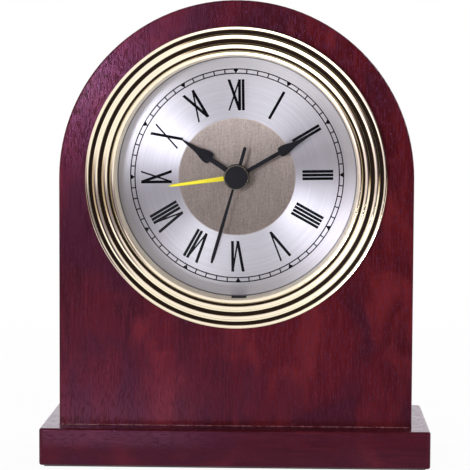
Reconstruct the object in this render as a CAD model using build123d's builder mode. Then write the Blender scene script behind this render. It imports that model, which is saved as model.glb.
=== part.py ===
from build123d import *
from math import cos, radians, sin
import os

# Table clock: an arched wooden case on a board, with a round alarm clock insert.
# The front faces -Y, +Z is up, and the origin is under the middle of the base.
# Sizes are in millimetres and angles in degrees.

# Clearances
running_clearance = 0.05
seat_clearance = 0.1
end_play = 0.1
wall_gap = 1.0
cut_overrun = 1.0

# Base board and its felt
base_width = 116.9
base_depth = 50.0
base_height = 11.2
base_corner_radius = 1.0
base_edge_radius = 0.7
felt_thickness = 0.6
felt_inset = 1.4

# Arched case
case_width = 106.3
case_depth = 34.0
case_setback = 7.45
arch_centre_height = 74.6
dial_rise = 0.3
case_edge_radius = 0.5
bore_clearance = 0.8

# Wood screws through the base
wood_screw_spacing = 64.0
wood_screw_radius = 1.6
wood_screw_head_radius = 3.2
wood_screw_recess = 0.5
wood_screw_bite = 13.0
wood_screw_slot_width = 0.9
wood_screw_slot_depth = 1.0

# Bezel
bezel_radius = 45.0
bezel_rim_height = 2.3
rim_bead_radius = 0.6
ring_bead_radius = 0.85
lip_radius = 36.65
lip_height = 0.9
lip_bead_radius = 0.45
skirt_wall = 1.1
skirt_length = 4.5
ring_bead_shares = (0.345, 0.727)

# Lens, spacer ring and dial
lens_lap = 0.65
lens_setback = 0.3
lens_thickness = 1.5
lens_edge_chamfer = 0.2
spacer_height = 10.3
spacer_taper = 0.35
notch_width = 4.6
notch_height = 7.0
notch_offset = 0.8
dial_thickness = 0.5
dial_disc_radius = 17.8
dial_disc_recess = 0.1

# Housing and its rubber ring
housing_wall = 1.8
housing_floor = 1.5
ring_groove_depth = 0.9
ring_groove_width = 6.0
ring_groove_depth_in = 3.0
ring_fin_count = 3
ring_band_share = 0.5
boss_height = 5.0
boss_radius = 2.4

# Hands
hand_thickness = 0.4
hand_gap = 1.4
alarm_hand_lift = 1.2
tube_proud = 0.15
second_boss_radius = 3.6
second_boss_height = 1.3
minute_boss_radius = 3.95
hour_boss_radius = 3.3
alarm_boss_radius = 3.5
hour_hand_length = 20.6
hour_hand_stem = 1.5
hour_hand_spade = 3.75
minute_hand_length = 26.2
minute_hand_stem = 1.2
minute_hand_spade = 3.2
second_hand_length = 27.0
second_hand_root = 0.6
second_hand_blade = 1.05
second_hand_tail = 9.5
second_hand_tail_width = 1.05
alarm_hand_length = 21.2
alarm_hand_root = 1.6
alarm_hand_tip = 0.7
hand_tip_width = 0.3
hour_hand_angle = 304.0
minute_hand_angle = 60.0
second_hand_angle = 196.0
alarm_hand_angle = 262.0
spade_neck_share = 0.456
minute_neck_share = 0.563
spade_lobe_share = 0.05
spade_reach_shares = (0.35, 0.7)
spade_width_shares = (0.56, 0.27)
second_blade_shares = (0.6, 0.93)

# Tubes and arbors on the hand axis
second_arbor_radius = 0.5
tube_wall = 0.6
bush_wall = 0.8
bush_proud = 0.2

# Movement case
shell_wall = 1.2
shell_corner_radius = 4.0
rear_room = 3.0
ear_reach = 4.2
ear_height = 12.0
ear_radius = 3.2
ear_thickness = 2.0
ear_screw_radius = 0.9
ear_screw_head_radius = 2.2
pillar_inset = 3.0
pillar_radius = 1.9
cover_screw_radius = 0.8
cover_screw_head_radius = 1.8
small_screw_head_height = 1.3
small_screw_bite = 4.2
small_screw_slot_width = 0.5
small_screw_slot_depth = 0.6
bearing_depth = 0.7
bearing_boss_radius = 1.5
bearing_boss_height = 1.6

# Wheels, on levels counted from the dial
alarm_level = 0
hour_level = 1
minute_level = 2
centre_level = 3
third_level = 4
second_level = 5
rotor_level = 6
wheel_thickness = 1.0
level_gap = 0.5
thin_arbor_radius = 0.55
setting_arbor_radius = 0.8
third_spacing = 10.2
third_angle = -5.0
intermediate_spacing = 10.4
intermediate_angle = 150.0
rotor_spacing = 8.4
rotor_angle = 100.0
minute_work_spacing = 10.8
minute_work_angle = 65.0
alarm_setting_spacing = 12.25
alarm_setting_angle = 195.0
second_wheel_teeth = 40
second_pinion_teeth = 8
intermediate_wheel_teeth = 48
intermediate_pinion_teeth = 8
rotor_pinion_teeth = 8
third_wheel_teeth = 60
third_pinion_teeth = 8
centre_wheel_teeth = 64
minute_pinion_teeth = 12
minute_work_wheel_teeth = 36
minute_work_pinion_teeth = 10
hour_wheel_teeth = 40
alarm_wheel_teeth = 40
alarm_setting_teeth = 30
addendum_share = 0.75
dedendum_share = 1.1
tooth_tip_share = 0.2
tooth_root_share = 0.54

# Stepping motor
rotor_magnet_radius = 2.6
rotor_magnet_length = 2.4
rotor_air_gap = 0.5
stator_thickness = 1.0
motor_gap = 0.4
stator_right_reach = 13.0
stator_leg_width = 2.7
stator_rim = 0.4
stator_post_radius = 1.2
coil_rise = 7.8
coil_radius = 3.2
coil_flange_thickness = 0.8
coil_hub_radius = 1.9
core_height = 2.0

# Circuit board, chip, crystal and buzzer
board_width = 7.0
board_height = 19.0
board_thickness = 1.0
board_bottom = -4.5
board_lift = 1.7
board_post_radius = 1.2
chip_radius = 2.1
chip_height = 0.8
crystal_radius = 1.0
crystal_length = 6.0
buzzer_radius = 8.0
buzzer_thickness = 2.4
buzzer_wall_gap = 2.8
buzzer_height = 15.8
sound_hole_radius = 0.75
sound_hole_circle_radius = 4.5
sound_hole_count = 8

# Battery and its contacts
battery_radius = 7.25
battery_length = 50.5
battery_nub_radius = 2.7
battery_nub_length = 1.2
battery_edge_radius = 0.5
battery_clearance = 0.4
bay_end_room = 1.55
bay_end_width = 11.0
bay_end_rise = 4.0
contact_thickness = 0.35
contact_width = 6.0
contact_reach = 9.0
contact_button_radius = 2.0

# Knobs and alarm switch
time_knob_radius = 5.8
alarm_knob_radius = 5.0
knob_height = 4.8
knob_gap = 0.6
knob_groove_radius = 0.35
knob_groove_count = 24
knob_cap_depth = 1.6
switch_offset = -13.5
switch_height = 21.0
switch_travel = 4.0
switch_button_size = 4.2
switch_button_height = 2.0
switch_stem_length = 2.4
switch_stem_width = 1.8
switch_flange_size = 4.0
switch_flange_thickness = 0.8
switch_gap = 0.15

# Places worked out from the sizes above, front to back behind the case's front face
axis_height = felt_thickness + base_height + arch_centre_height + dial_rise
case_front = case_setback - base_depth / 2
case_middle = case_front + case_depth / 2
base_top = felt_thickness + base_height
arch_radius = case_width / 2
lens_radius = lip_radius + lens_lap
lens_back = lens_setback + lens_thickness
dial_front = lens_back + spacer_height
dial_back = dial_front + dial_thickness
movement_front = dial_back + housing_floor
shell_floor = movement_front + shell_wall
level_pitch = wheel_thickness + level_gap
skirt_radius = lens_radius + seat_clearance + skirt_wall
mouth_radius = skirt_radius + seat_clearance
housing_radius = mouth_radius + housing_wall
bore_radius = housing_radius + bore_clearance
spacer_foot_radius = lip_radius - spacer_taper


def level_front(level):
    """Depth of the front face of the wheels on a level, counted from the dial."""
    return shell_floor + level_gap + level * level_pitch


def level_back(level):
    """Depth of the rear face of the wheels on a level."""
    return level_front(level) + wheel_thickness


def polar(distance, angle, start=(0, 0)):
    """Place at a distance and an angle from another place, seen from the front."""
    turn = radians(angle)
    return (start[0] + distance * cos(turn), start[1] + distance * sin(turn))


def facing(place, depth, turn=0):
    """Plane that faces the viewer, its upward axis turned clockwise from twelve o'clock."""
    across = (cos(radians(turn)), 0, -sin(radians(turn)))
    origin = (place[0], case_front + depth, axis_height + place[1])
    return Plane(origin=origin, x_dir=across, z_dir=(0, -1, 0))


def section(place):
    """Plane through a turning axis: radius to the right, depth upwards."""
    origin = (place[0], case_front, axis_height + place[1])
    return Plane(origin=origin, x_dir=(1, 0, 0), z_dir=(0, 0, 1))


def turning_axis(place):
    """Axis that runs straight back through a place on the dial."""
    return Axis((place[0], case_front, axis_height + place[1]), (0, 1, 0))


def across_plane(across, place_up, depth):
    """Plane square to the width of the clock, for round things that lie sideways."""
    origin = (across, case_front + depth, axis_height + place_up)
    return Plane(origin=origin, x_dir=(0, 1, 0), z_dir=(1, 0, 0))


def gear_module(distance, teeth, other_teeth):
    """Pitch diameter per tooth of two wheels that mesh at a centre distance."""
    return 2 * distance / (teeth + other_teeth)


def tip_radius(teeth, module):
    """Radius over the tips of a wheel's teeth."""
    return module * (teeth / 2 + addendum_share)


def mesh_phase(phase, teeth, other_teeth, line_angle):
    """Angle of a tooth of the second wheel that puts it in mesh with the first."""
    lead = phase - line_angle
    return line_angle + 180 - lead * teeth / other_teeth + 180 / other_teeth


def tooth_points(teeth, module, phase):
    """Corners of a wheel's straight-sided teeth, one tooth after another."""
    pitch = 360 / teeth
    root = module * (teeth / 2 - dedendum_share)
    tip = tip_radius(teeth, module)
    points = []
    for tooth in range(teeth):
        middle = phase + tooth * pitch
        points.append(polar(root, middle - pitch * tooth_root_share / 2))
        points.append(polar(tip, middle - pitch * tooth_tip_share / 2))
        points.append(polar(tip, middle + pitch * tooth_tip_share / 2))
        points.append(polar(root, middle + pitch * tooth_root_share / 2))
    return points


def wheel_part(place, rods, wheels, bore=0):
    """One turning piece: rods of (front, back, radius) and toothed discs of
    (level, teeth, module, phase), with an optional bore right through."""
    with BuildPart() as wheel:
        for front, back, radius in rods:
            with BuildSketch(facing(place, back)):
                Circle(radius)
            extrude(amount=back - front)
        for level, teeth, module, phase in wheels:
            with BuildSketch(facing(place, level_back(level))):
                with BuildLine():
                    Polyline(*tooth_points(teeth, module, phase), close=True)
                make_face()
            extrude(amount=wheel_thickness)
        if bore:
            last = max(back for front, back, radius in rods)
            first = min(front for front, back, radius in rods)
            with BuildSketch(facing(place, last + cut_overrun)):
                Circle(bore)
            extrude(amount=last - first + 2 * cut_overrun, mode=Mode.SUBTRACT)
    return wheel


def screws_part(places, seat, head_radius, shank_radius):
    """Round-head screws driven from the rear, their heads on a seat depth."""
    head_back = seat + small_screw_head_height
    tip = seat - small_screw_bite
    with BuildPart() as screws:
        for place in places:
            with BuildSketch(section(place)):
                with BuildLine():
                    Polyline(
                        (0, head_back),
                        (head_radius, head_back),
                        (head_radius, seat),
                        (shank_radius, seat),
                        (shank_radius, tip + shank_radius),
                        (0, tip),
                        close=True,
                    )
                make_face()
            revolve(axis=turning_axis(place))
            with BuildSketch(facing(place, head_back)):
                Rectangle(head_radius, small_screw_slot_width)
                Rectangle(small_screw_slot_width, head_radius)
            extrude(amount=small_screw_slot_depth, mode=Mode.SUBTRACT)
    return screws


def spade_hand(angle, back, length, stem, spade, neck_share, boss, hole):
    """Hand with a stem, a spade of two round lobes and a drawn-out point."""
    neck = length * neck_share
    lobe = neck + length * spade_lobe_share
    reach = length - lobe
    sides = [
        (spade / 2 * width, lobe + reach * along)
        for width, along in zip(spade_width_shares, spade_reach_shares)
    ]
    with BuildPart() as hand:
        with BuildSketch(facing((0, 0), back, angle)):
            with BuildLine():
                Line((0, 0), (stem / 2, 0))
                Line((stem / 2, 0), (stem / 2, neck))
                Spline((stem / 2, neck), (spade / 2, lobe), tangents=[(1, 0), (0, 1)])
                Spline(
                    (spade / 2, lobe),
                    *sides,
                    (hand_tip_width / 2, length),
                    tangents=[(0, 1), (-hand_tip_width, length - lobe)],
                )
                Line((hand_tip_width / 2, length), (0, length))
                Line((0, length), (0, 0))
            make_face()
            mirror(about=Plane.YZ)
            Circle(boss)
            Circle(hole, mode=Mode.SUBTRACT)
        extrude(amount=hand_thickness)
    return hand


def knob_part(place, radius, front, arbor):
    """Round setting knob with a grooved edge and a sunk rear face."""
    with BuildPart() as knob:
        with BuildSketch(facing(place, front + knob_height)):
            Circle(radius)
            with PolarLocations(radius, knob_groove_count):
                Circle(knob_groove_radius, mode=Mode.SUBTRACT)
        extrude(amount=knob_height)
        with BuildSketch(facing(place, front + knob_height)):
            Circle(radius - shell_wall)
            Rectangle(2 * radius, shell_wall, mode=Mode.SUBTRACT)
        extrude(amount=knob_cap_depth, mode=Mode.SUBTRACT)
        with BuildSketch(facing(place, front + knob_height - knob_cap_depth - shell_wall)):
            Circle(arbor + running_clearance)
        extrude(amount=knob_height, mode=Mode.SUBTRACT)
    return knob


# Places of the wheels, seen from the front, with the hand axis at (0, 0)
hand_axis = (0, 0)
third_place = polar(third_spacing, third_angle)
intermediate_place = polar(intermediate_spacing, intermediate_angle)
rotor_place = polar(rotor_spacing, rotor_angle, intermediate_place)
minute_work_place = polar(minute_work_spacing, minute_work_angle)
alarm_setting_place = polar(alarm_setting_spacing, alarm_setting_angle)
second_module = gear_module(intermediate_spacing, second_wheel_teeth, intermediate_pinion_teeth)
rotor_module = gear_module(rotor_spacing, intermediate_wheel_teeth, rotor_pinion_teeth)
third_module = gear_module(third_spacing, third_wheel_teeth, second_pinion_teeth)
centre_module = gear_module(third_spacing, centre_wheel_teeth, third_pinion_teeth)
minute_module = gear_module(minute_work_spacing, minute_work_wheel_teeth, minute_pinion_teeth)
hour_module = gear_module(minute_work_spacing, hour_wheel_teeth, minute_work_pinion_teeth)
alarm_module = gear_module(alarm_setting_spacing, alarm_wheel_teeth, alarm_setting_teeth)

# Movement case, worked out from the wheels, the coil and the battery it holds
split_depth = level_back(third_level) + level_gap / 2
cover_floor = level_back(rotor_level) + rear_room
cover_back = cover_floor + shell_wall
coil_up = rotor_place[1] + coil_rise
gear_room_top = coil_up + coil_radius + wall_gap
gear_room_bottom = third_place[1] - tip_radius(third_wheel_teeth, third_module) - wall_gap
gear_room_height = gear_room_top - gear_room_bottom
gear_room_middle = (gear_room_top + gear_room_bottom) / 2
bay_width = 2 * (battery_radius + battery_clearance)
bay_top = gear_room_bottom - shell_wall
bay_middle = bay_top - bay_width / 2
room_width = battery_length + 2 * bay_end_room
movement_width = room_width + 2 * shell_wall
movement_top = gear_room_top + shell_wall
movement_bottom = bay_top - bay_width - shell_wall
battery_depth = shell_floor + battery_clearance + battery_radius
ear_front = movement_front + boss_height
ear_back = ear_front + ear_thickness
ear_across = movement_width / 2 + ear_reach
ear_places = [(side * ear_across, up) for side in (-1, 1) for up in (-ear_height, ear_height)]
pillar_across = room_width / 2 - pillar_inset
pillar_places = [
    (-pillar_across, gear_room_top - pillar_inset),
    (-pillar_across, gear_room_bottom + pillar_inset),
    (pillar_across, gear_room_bottom + pillar_inset),
]
arbor_front = shell_floor - bearing_depth + end_play
arbor_back = cover_floor - bearing_boss_height + bearing_depth - end_play

# Tubes on the hand axis, from the second arbor outwards
minute_tube_radius = second_arbor_radius + running_clearance + tube_wall
hour_tube_radius = minute_tube_radius + running_clearance + tube_wall
centre_hub_radius = hour_tube_radius
alarm_tube_radius = hour_tube_radius + running_clearance + tube_wall
bush_hole_radius = alarm_tube_radius + running_clearance
bush_radius = bush_hole_radius + bush_wall
alarm_hand_back = dial_front - alarm_hand_lift
hour_hand_back = alarm_hand_back - hand_thickness - hand_gap
minute_hand_back = hour_hand_back - hand_thickness - hand_gap
second_hand_back = minute_hand_back - hand_thickness - hand_gap
second_boss_front = second_hand_back - hand_thickness - second_boss_height
minute_tube_front = minute_hand_back - hand_thickness - tube_proud
minute_tube_back = level_back(centre_level) + level_gap / 2

# Motor and board places
stator_front = level_front(centre_level) + wheel_thickness / 2
stator_back = stator_front + stator_thickness
core_middle = stator_back + stator_thickness / 2
stator_left = pillar_radius + motor_gap - pillar_across
stator_right = rotor_place[0] + stator_right_reach
rotor_hole_radius = rotor_magnet_radius + rotor_air_gap
stator_bar_height = 2 * (rotor_hole_radius + stator_rim)
coil_left = stator_left + stator_leg_width + seat_clearance
coil_right = stator_right - stator_leg_width - seat_clearance
stator_posts = [
    (stator_left + stator_leg_width / 2, coil_up),
    (stator_right - stator_leg_width / 2, coil_up),
]
board_place = (board_width / 2 - room_width / 2 + seat_clearance, board_bottom + board_height / 2)
board_front = shell_floor + board_lift
board_back = board_front + board_thickness
board_post_spacing = board_height - board_width
board_posts = [
    (board_place[0], board_place[1] - board_post_spacing / 2),
    (board_place[0], board_place[1] + board_post_spacing / 2),
]
buzzer_place = (room_width / 2 - buzzer_radius - buzzer_wall_gap, buzzer_height)
knob_front = cover_back + knob_gap
setting_arbor_back = knob_front + knob_height - knob_cap_depth - shell_wall - end_play


# Wooden base with two countersunk screw holes
screw_places = [(side * wood_screw_spacing / 2, case_middle) for side in (-1, 1)]
with BuildPart() as wood_base:
    with BuildSketch(Plane.XY.offset(felt_thickness)):
        RectangleRounded(base_width, base_depth, base_corner_radius)
    extrude(amount=base_height)
    fillet(wood_base.faces().sort_by(Axis.Z)[-1].edges(), base_edge_radius)
    fillet(wood_base.faces().sort_by(Axis.Z)[0].edges(), base_edge_radius)
    under_base = Plane(origin=(0, 0, felt_thickness), x_dir=(1, 0, 0), z_dir=(0, 0, -1))
    with Locations(under_base):
        with Locations(*[(across, -depth) for across, depth in screw_places]):
            CounterSinkHole(
                radius=wood_screw_radius + seat_clearance,
                counter_sink_radius=wood_screw_head_radius + wood_screw_recess + seat_clearance,
                counter_sink_angle=90,
            )

# Arched case with the bore for the insert and the screws' pilot holes
with BuildPart() as wood_case:
    case_bottom = base_top - axis_height
    arch_up = -dial_rise
    with BuildSketch(facing(hand_axis, case_depth)):
        with BuildLine():
            Polyline(
                (-arch_radius, arch_up),
                (-arch_radius, case_bottom),
                (arch_radius, case_bottom),
                (arch_radius, arch_up),
            )
            ThreePointArc((arch_radius, arch_up), (0, arch_up + arch_radius), (-arch_radius, arch_up))
        make_face()
    extrude(amount=case_depth)
    for face in (wood_case.faces().sort_by(Axis.Y)[0], wood_case.faces().sort_by(Axis.Y)[-1]):
        fillet(face.edges().sort_by(Axis.Z)[1:], case_edge_radius)
    with BuildSketch(facing(hand_axis, case_depth + cut_overrun)):
        Circle(bore_radius)
    extrude(amount=case_depth + 2 * cut_overrun, mode=Mode.SUBTRACT)
    with BuildSketch(Plane.XY.offset(base_top)):
        with Locations(*screw_places):
            Circle(wood_screw_radius + running_clearance)
    extrude(amount=wood_screw_bite + end_play, mode=Mode.SUBTRACT)

# Wood screws, with cross-slotted countersunk heads under the felt
screw_bottom = felt_thickness + wood_screw_recess
screw_neck = screw_bottom + wood_screw_head_radius - wood_screw_radius
screw_tip = base_top + wood_screw_bite
with BuildPart() as base_screws:
    for across, depth in screw_places:
        upright = Plane(origin=(across, depth, 0), x_dir=(1, 0, 0), z_dir=(0, -1, 0))
        with BuildSketch(upright):
            with BuildLine():
                Polyline(
                    (0, screw_bottom),
                    (wood_screw_head_radius, screw_bottom),
                    (wood_screw_radius, screw_neck),
                    (wood_screw_radius, screw_tip - 2 * wood_screw_radius),
                    (0, screw_tip),
                    close=True,
                )
            make_face()
        revolve(axis=Axis((across, depth, 0), (0, 0, 1)))
        with BuildSketch(Plane(origin=(across, depth, screw_bottom), x_dir=(1, 0, 0), z_dir=(0, 0, 1))):
            Rectangle(wood_screw_head_radius, wood_screw_slot_width)
            Rectangle(wood_screw_slot_width, wood_screw_head_radius)
        extrude(amount=wood_screw_slot_depth, mode=Mode.SUBTRACT)

# Felt under the base
with BuildPart() as felt_sheet:
    with BuildSketch(Plane.XY):
        RectangleRounded(base_width - 2 * felt_inset, base_depth - 2 * felt_inset, felt_inset)
    extrude(amount=felt_thickness)

# Bezel: a flange dished towards the lens, with beads on it and a skirt behind
rim_bead_place = (bezel_radius - rim_bead_radius, -bezel_rim_height)
lip_bead_place = (lip_radius + lip_bead_radius, -lip_height)
with BuildPart() as bezel:
    with BuildSketch(section(hand_axis)):
        with BuildLine():
            Polyline(
                (bezel_radius, 0),
                (bezel_radius, -bezel_rim_height),
                (lip_radius, -lip_height),
                (lip_radius, lens_setback),
                (lens_radius + seat_clearance, lens_setback),
                (lens_radius + seat_clearance, skirt_length),
                (skirt_radius, skirt_length),
                (skirt_radius, 0),
                close=True,
            )
        make_face()
        with Locations(rim_bead_place):
            Circle(rim_bead_radius)
        with Locations(lip_bead_place):
            Circle(lip_bead_radius)
        for share in ring_bead_shares:
            bead_radius_out = rim_bead_place[0] + share * (lip_bead_place[0] - rim_bead_place[0])
            bead_depth = rim_bead_place[1] + share * (lip_bead_place[1] - rim_bead_place[1])
            with Locations((bead_radius_out, bead_depth)):
                Circle(ring_bead_radius)
    revolve(axis=turning_axis(hand_axis))

# Flat lens behind the bezel's lip
with BuildPart() as lens:
    with BuildSketch(facing(hand_axis, lens_back)):
        Circle(lens_radius)
    extrude(amount=lens_thickness)
    chamfer(lens.edges(), lens_edge_chamfer)

# Spacer ring between lens and dial, with a notch at its foot
with BuildPart() as spacer_ring:
    with BuildSketch(section(hand_axis)):
        with BuildLine():
            Polyline(
                (lip_radius, lens_back),
                (lens_radius, lens_back),
                (lens_radius, dial_front),
                (spacer_foot_radius, dial_front),
                close=True,
            )
        make_face()
    revolve(axis=turning_axis(hand_axis))
    with BuildSketch(facing((notch_offset, -lip_radius), dial_front + cut_overrun)):
        Rectangle(notch_width, 2 * lens_lap + 2 * spacer_taper + cut_overrun)
    extrude(amount=notch_height + cut_overrun, mode=Mode.SUBTRACT)

# Dial with a sunk centre disc and an edge notch for the housing's key
with BuildPart() as dial:
    with BuildSketch(facing(hand_axis, dial_back)):
        Circle(mouth_radius - seat_clearance)
        Circle(bush_radius + seat_clearance, mode=Mode.SUBTRACT)
        with Locations((notch_offset, -mouth_radius)):
            Rectangle(notch_width, 2 * (mouth_radius - spacer_foot_radius), mode=Mode.SUBTRACT)
    extrude(amount=dial_thickness)
    with BuildSketch(facing(hand_axis, dial_front + dial_disc_recess)):
        Circle(dial_disc_radius)
    extrude(amount=dial_disc_recess, mode=Mode.SUBTRACT)

# Housing: cup with a floor behind the dial, a ring groove, a key and screw bosses
key_bottom = spacer_foot_radius + seat_clearance
key_height = lens_radius - key_bottom
with BuildPart() as insert_housing:
    with BuildSketch(section(hand_axis)):
        with BuildLine():
            Polyline(
                (mouth_radius, 0),
                (housing_radius, 0),
                (housing_radius, movement_front),
                (bush_radius + seat_clearance, movement_front),
                (bush_radius + seat_clearance, dial_back),
                (mouth_radius, dial_back),
                close=True,
            )
        make_face()
        with Locations((housing_radius, ring_groove_depth_in + ring_groove_width / 2)):
            Rectangle(2 * ring_groove_depth, ring_groove_width, mode=Mode.SUBTRACT)
    revolve(axis=turning_axis(hand_axis))
    with BuildSketch(facing((notch_offset, -key_bottom - key_height / 2), dial_back)):
        Rectangle(notch_width - 2 * seat_clearance, key_height)
    extrude(amount=dial_thickness + notch_height - seat_clearance)
    with BuildSketch(facing(hand_axis, ear_front)):
        with Locations(*ear_places):
            Circle(boss_radius)
    extrude(amount=boss_height)
    with BuildSketch(facing(hand_axis, ear_front)):
        with Locations(*ear_places):
            Circle(ear_screw_radius + running_clearance)
    extrude(amount=small_screw_bite - ear_thickness + end_play, mode=Mode.SUBTRACT)

# Rubber ring in the housing's groove, with fins that grip the wood
ring_root_radius = housing_radius - ring_groove_depth + seat_clearance
ring_tip_radius = bore_radius - seat_clearance
ring_band_radius = ring_root_radius + ring_band_share * (ring_tip_radius - ring_root_radius)
ring_front = ring_groove_depth_in + seat_clearance
fin_width = (ring_groove_width - 2 * seat_clearance) / ring_fin_count
fin_points = []
for fin in range(ring_fin_count):
    fin_points.append((ring_band_radius, ring_front + fin * fin_width))
    fin_points.append((ring_tip_radius, ring_front + (fin + 1 / 2) * fin_width))
ring_back = ring_front + ring_fin_count * fin_width
with BuildPart() as retaining_ring:
    with BuildSketch(section(hand_axis)):
        with BuildLine():
            Polyline(
                (ring_root_radius, ring_front),
                *fin_points,
                (ring_band_radius, ring_back),
                (ring_root_radius, ring_back),
                close=True,
            )
        make_face()
    revolve(axis=turning_axis(hand_axis))

# Movement front shell: gear room, battery bay, bush, bearings, pillars and ears
shell_middle = (movement_top + movement_bottom) / 2
shell_height = movement_top - movement_bottom
inner_corner_radius = shell_corner_radius - shell_wall
thin_places = [third_place, intermediate_place, rotor_place]
setting_places = [minute_work_place, alarm_setting_place]
with BuildPart() as movement_front_shell:
    with BuildSketch(facing((0, shell_middle), split_depth)):
        RectangleRounded(movement_width, shell_height, shell_corner_radius)
    extrude(amount=split_depth - movement_front)
    with BuildSketch(facing(hand_axis, split_depth)):
        with Locations((0, gear_room_middle)):
            RectangleRounded(room_width, gear_room_height, inner_corner_radius)
        with Locations((0, bay_middle)):
            RectangleRounded(room_width, bay_width, inner_corner_radius)
    extrude(amount=split_depth - shell_floor, mode=Mode.SUBTRACT)
    with BuildSketch(facing((0, bay_middle), split_depth)):
        with GridLocations(room_width + shell_wall, 0, 2, 1):
            Rectangle(shell_wall, bay_end_width)
    extrude(amount=-bay_end_rise)
    with BuildSketch(facing(hand_axis, shell_floor)):
        Circle(bush_radius)
    extrude(amount=shell_floor - dial_front + bush_proud)
    with BuildSketch(facing(hand_axis, shell_floor)):
        Circle(bush_hole_radius)
    extrude(amount=shell_floor - dial_front + bush_proud + cut_overrun, mode=Mode.SUBTRACT)
    with BuildSketch(facing(hand_axis, split_depth)):
        with Locations(*pillar_places):
            Circle(pillar_radius)
    extrude(amount=split_depth - shell_floor)
    with BuildSketch(facing(hand_axis, stator_front)):
        with Locations(*stator_posts):
            Circle(stator_post_radius)
    extrude(amount=stator_front - shell_floor)
    with BuildSketch(facing(hand_axis, board_front)):
        with Locations(*board_posts):
            Circle(board_post_radius)
    extrude(amount=board_lift)
    with BuildSketch(facing(hand_axis, ear_back)):
        for across, up in ear_places:
            side = across / abs(across)
            with Locations((side * (movement_width / 2 + ear_reach / 2), up)):
                Rectangle(ear_reach + shell_wall, 2 * ear_radius)
            with Locations((across, up)):
                Circle(ear_radius)
                Circle(ear_screw_radius + seat_clearance, mode=Mode.SUBTRACT)
    extrude(amount=ear_thickness)
    with BuildSketch(facing(hand_axis, split_depth)):
        with Locations(*pillar_places):
            Circle(cover_screw_radius + running_clearance)
    extrude(amount=small_screw_bite - shell_wall + end_play, mode=Mode.SUBTRACT)
    with BuildSketch(facing(hand_axis, shell_floor)):
        with Locations(*thin_places):
            Circle(thin_arbor_radius + running_clearance)
        with Locations(*setting_places):
            Circle(setting_arbor_radius + running_clearance)
    extrude(amount=bearing_depth, mode=Mode.SUBTRACT)

# Movement back cover: bearings, screw columns, sound holes and the switch slot
cover_height = movement_top - bay_top
cover_middle = (movement_top + bay_top) / 2
sunk_seat = split_depth + shell_wall
slot_length = switch_stem_length + switch_travel + 2 * seat_clearance
switch_place = (switch_offset, switch_height)
slot_place = (switch_offset + switch_travel / 2, switch_height)
with BuildPart() as movement_back_cover:
    with BuildSketch(facing((0, cover_middle), cover_back)):
        RectangleRounded(movement_width, cover_height, shell_corner_radius)
    extrude(amount=cover_back - split_depth)
    with BuildSketch(facing((0, gear_room_middle), cover_floor)):
        RectangleRounded(room_width, gear_room_height, inner_corner_radius)
    extrude(amount=cover_floor - split_depth, mode=Mode.SUBTRACT)
    with BuildSketch(facing(hand_axis, cover_floor)):
        with Locations(*pillar_places):
            Circle(pillar_radius)
    extrude(amount=cover_floor - split_depth)
    with BuildSketch(facing(hand_axis, cover_floor)):
        with Locations(hand_axis, *thin_places, *setting_places):
            Circle(bearing_boss_radius)
    extrude(amount=bearing_boss_height)
    with BuildSketch(facing(hand_axis, cover_floor - bearing_boss_height)):
        with Locations(*thin_places):
            Circle(thin_arbor_radius + running_clearance)
        with Locations(hand_axis):
            Circle(second_arbor_radius + running_clearance)
    extrude(amount=-bearing_depth, mode=Mode.SUBTRACT)
    with BuildSketch(facing(hand_axis, cover_back + cut_overrun)):
        with Locations(*setting_places):
            Circle(setting_arbor_radius + running_clearance)
        with Locations(buzzer_place):
            with PolarLocations(sound_hole_circle_radius, sound_hole_count):
                Circle(sound_hole_radius)
        with Locations(slot_place):
            Rectangle(slot_length, switch_stem_width + 2 * seat_clearance)
    extrude(amount=cover_back - cover_floor + bearing_boss_height + 2 * cut_overrun, mode=Mode.SUBTRACT)
    with BuildSketch(facing(hand_axis, cover_back + cut_overrun)):
        with Locations(*pillar_places):
            Circle(cover_screw_head_radius + seat_clearance)
    extrude(amount=cover_back - sunk_seat + cut_overrun, mode=Mode.SUBTRACT)
    with BuildSketch(facing(hand_axis, cover_back)):
        with Locations(*pillar_places):
            Circle(cover_screw_radius + seat_clearance)
    extrude(amount=cover_back - split_depth + cut_overrun, mode=Mode.SUBTRACT)

cover_screws = screws_part(pillar_places, sunk_seat, cover_screw_head_radius, cover_screw_radius)
ear_screws = screws_part(ear_places, ear_back, ear_screw_head_radius, ear_screw_radius)

# Wheels, each with its arbor or tube
second_wheel = wheel_part(
    hand_axis,
    [(second_boss_front + end_play + hand_thickness, arbor_back, second_arbor_radius)],
    [
        (third_level, second_pinion_teeth, third_module, 0),
        (second_level, second_wheel_teeth, second_module, 0),
    ],
)
third_wheel = wheel_part(
    third_place,
    [(arbor_front, arbor_back, thin_arbor_radius)],
    [
        (centre_level, third_pinion_teeth, centre_module, 0),
        (third_level, third_wheel_teeth, third_module,
         mesh_phase(0, second_pinion_teeth, third_wheel_teeth, third_angle)),
    ],
)
centre_wheel = wheel_part(
    hand_axis,
    [(level_front(centre_level), level_back(centre_level), centre_hub_radius)],
    [
        (centre_level, centre_wheel_teeth, centre_module,
         mesh_phase(0, third_pinion_teeth, centre_wheel_teeth, third_angle + 180)),
    ],
    bore=minute_tube_radius + running_clearance,
)
intermediate_wheel = wheel_part(
    intermediate_place,
    [(arbor_front, arbor_back, thin_arbor_radius)],
    [
        (second_level, intermediate_pinion_teeth, second_module,
         mesh_phase(0, second_wheel_teeth, intermediate_pinion_teeth, intermediate_angle)),
        (rotor_level, intermediate_wheel_teeth, rotor_module, 0),
    ],
)
rotor_magnet_front = stator_front + (stator_thickness - rotor_magnet_length) / 2
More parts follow.
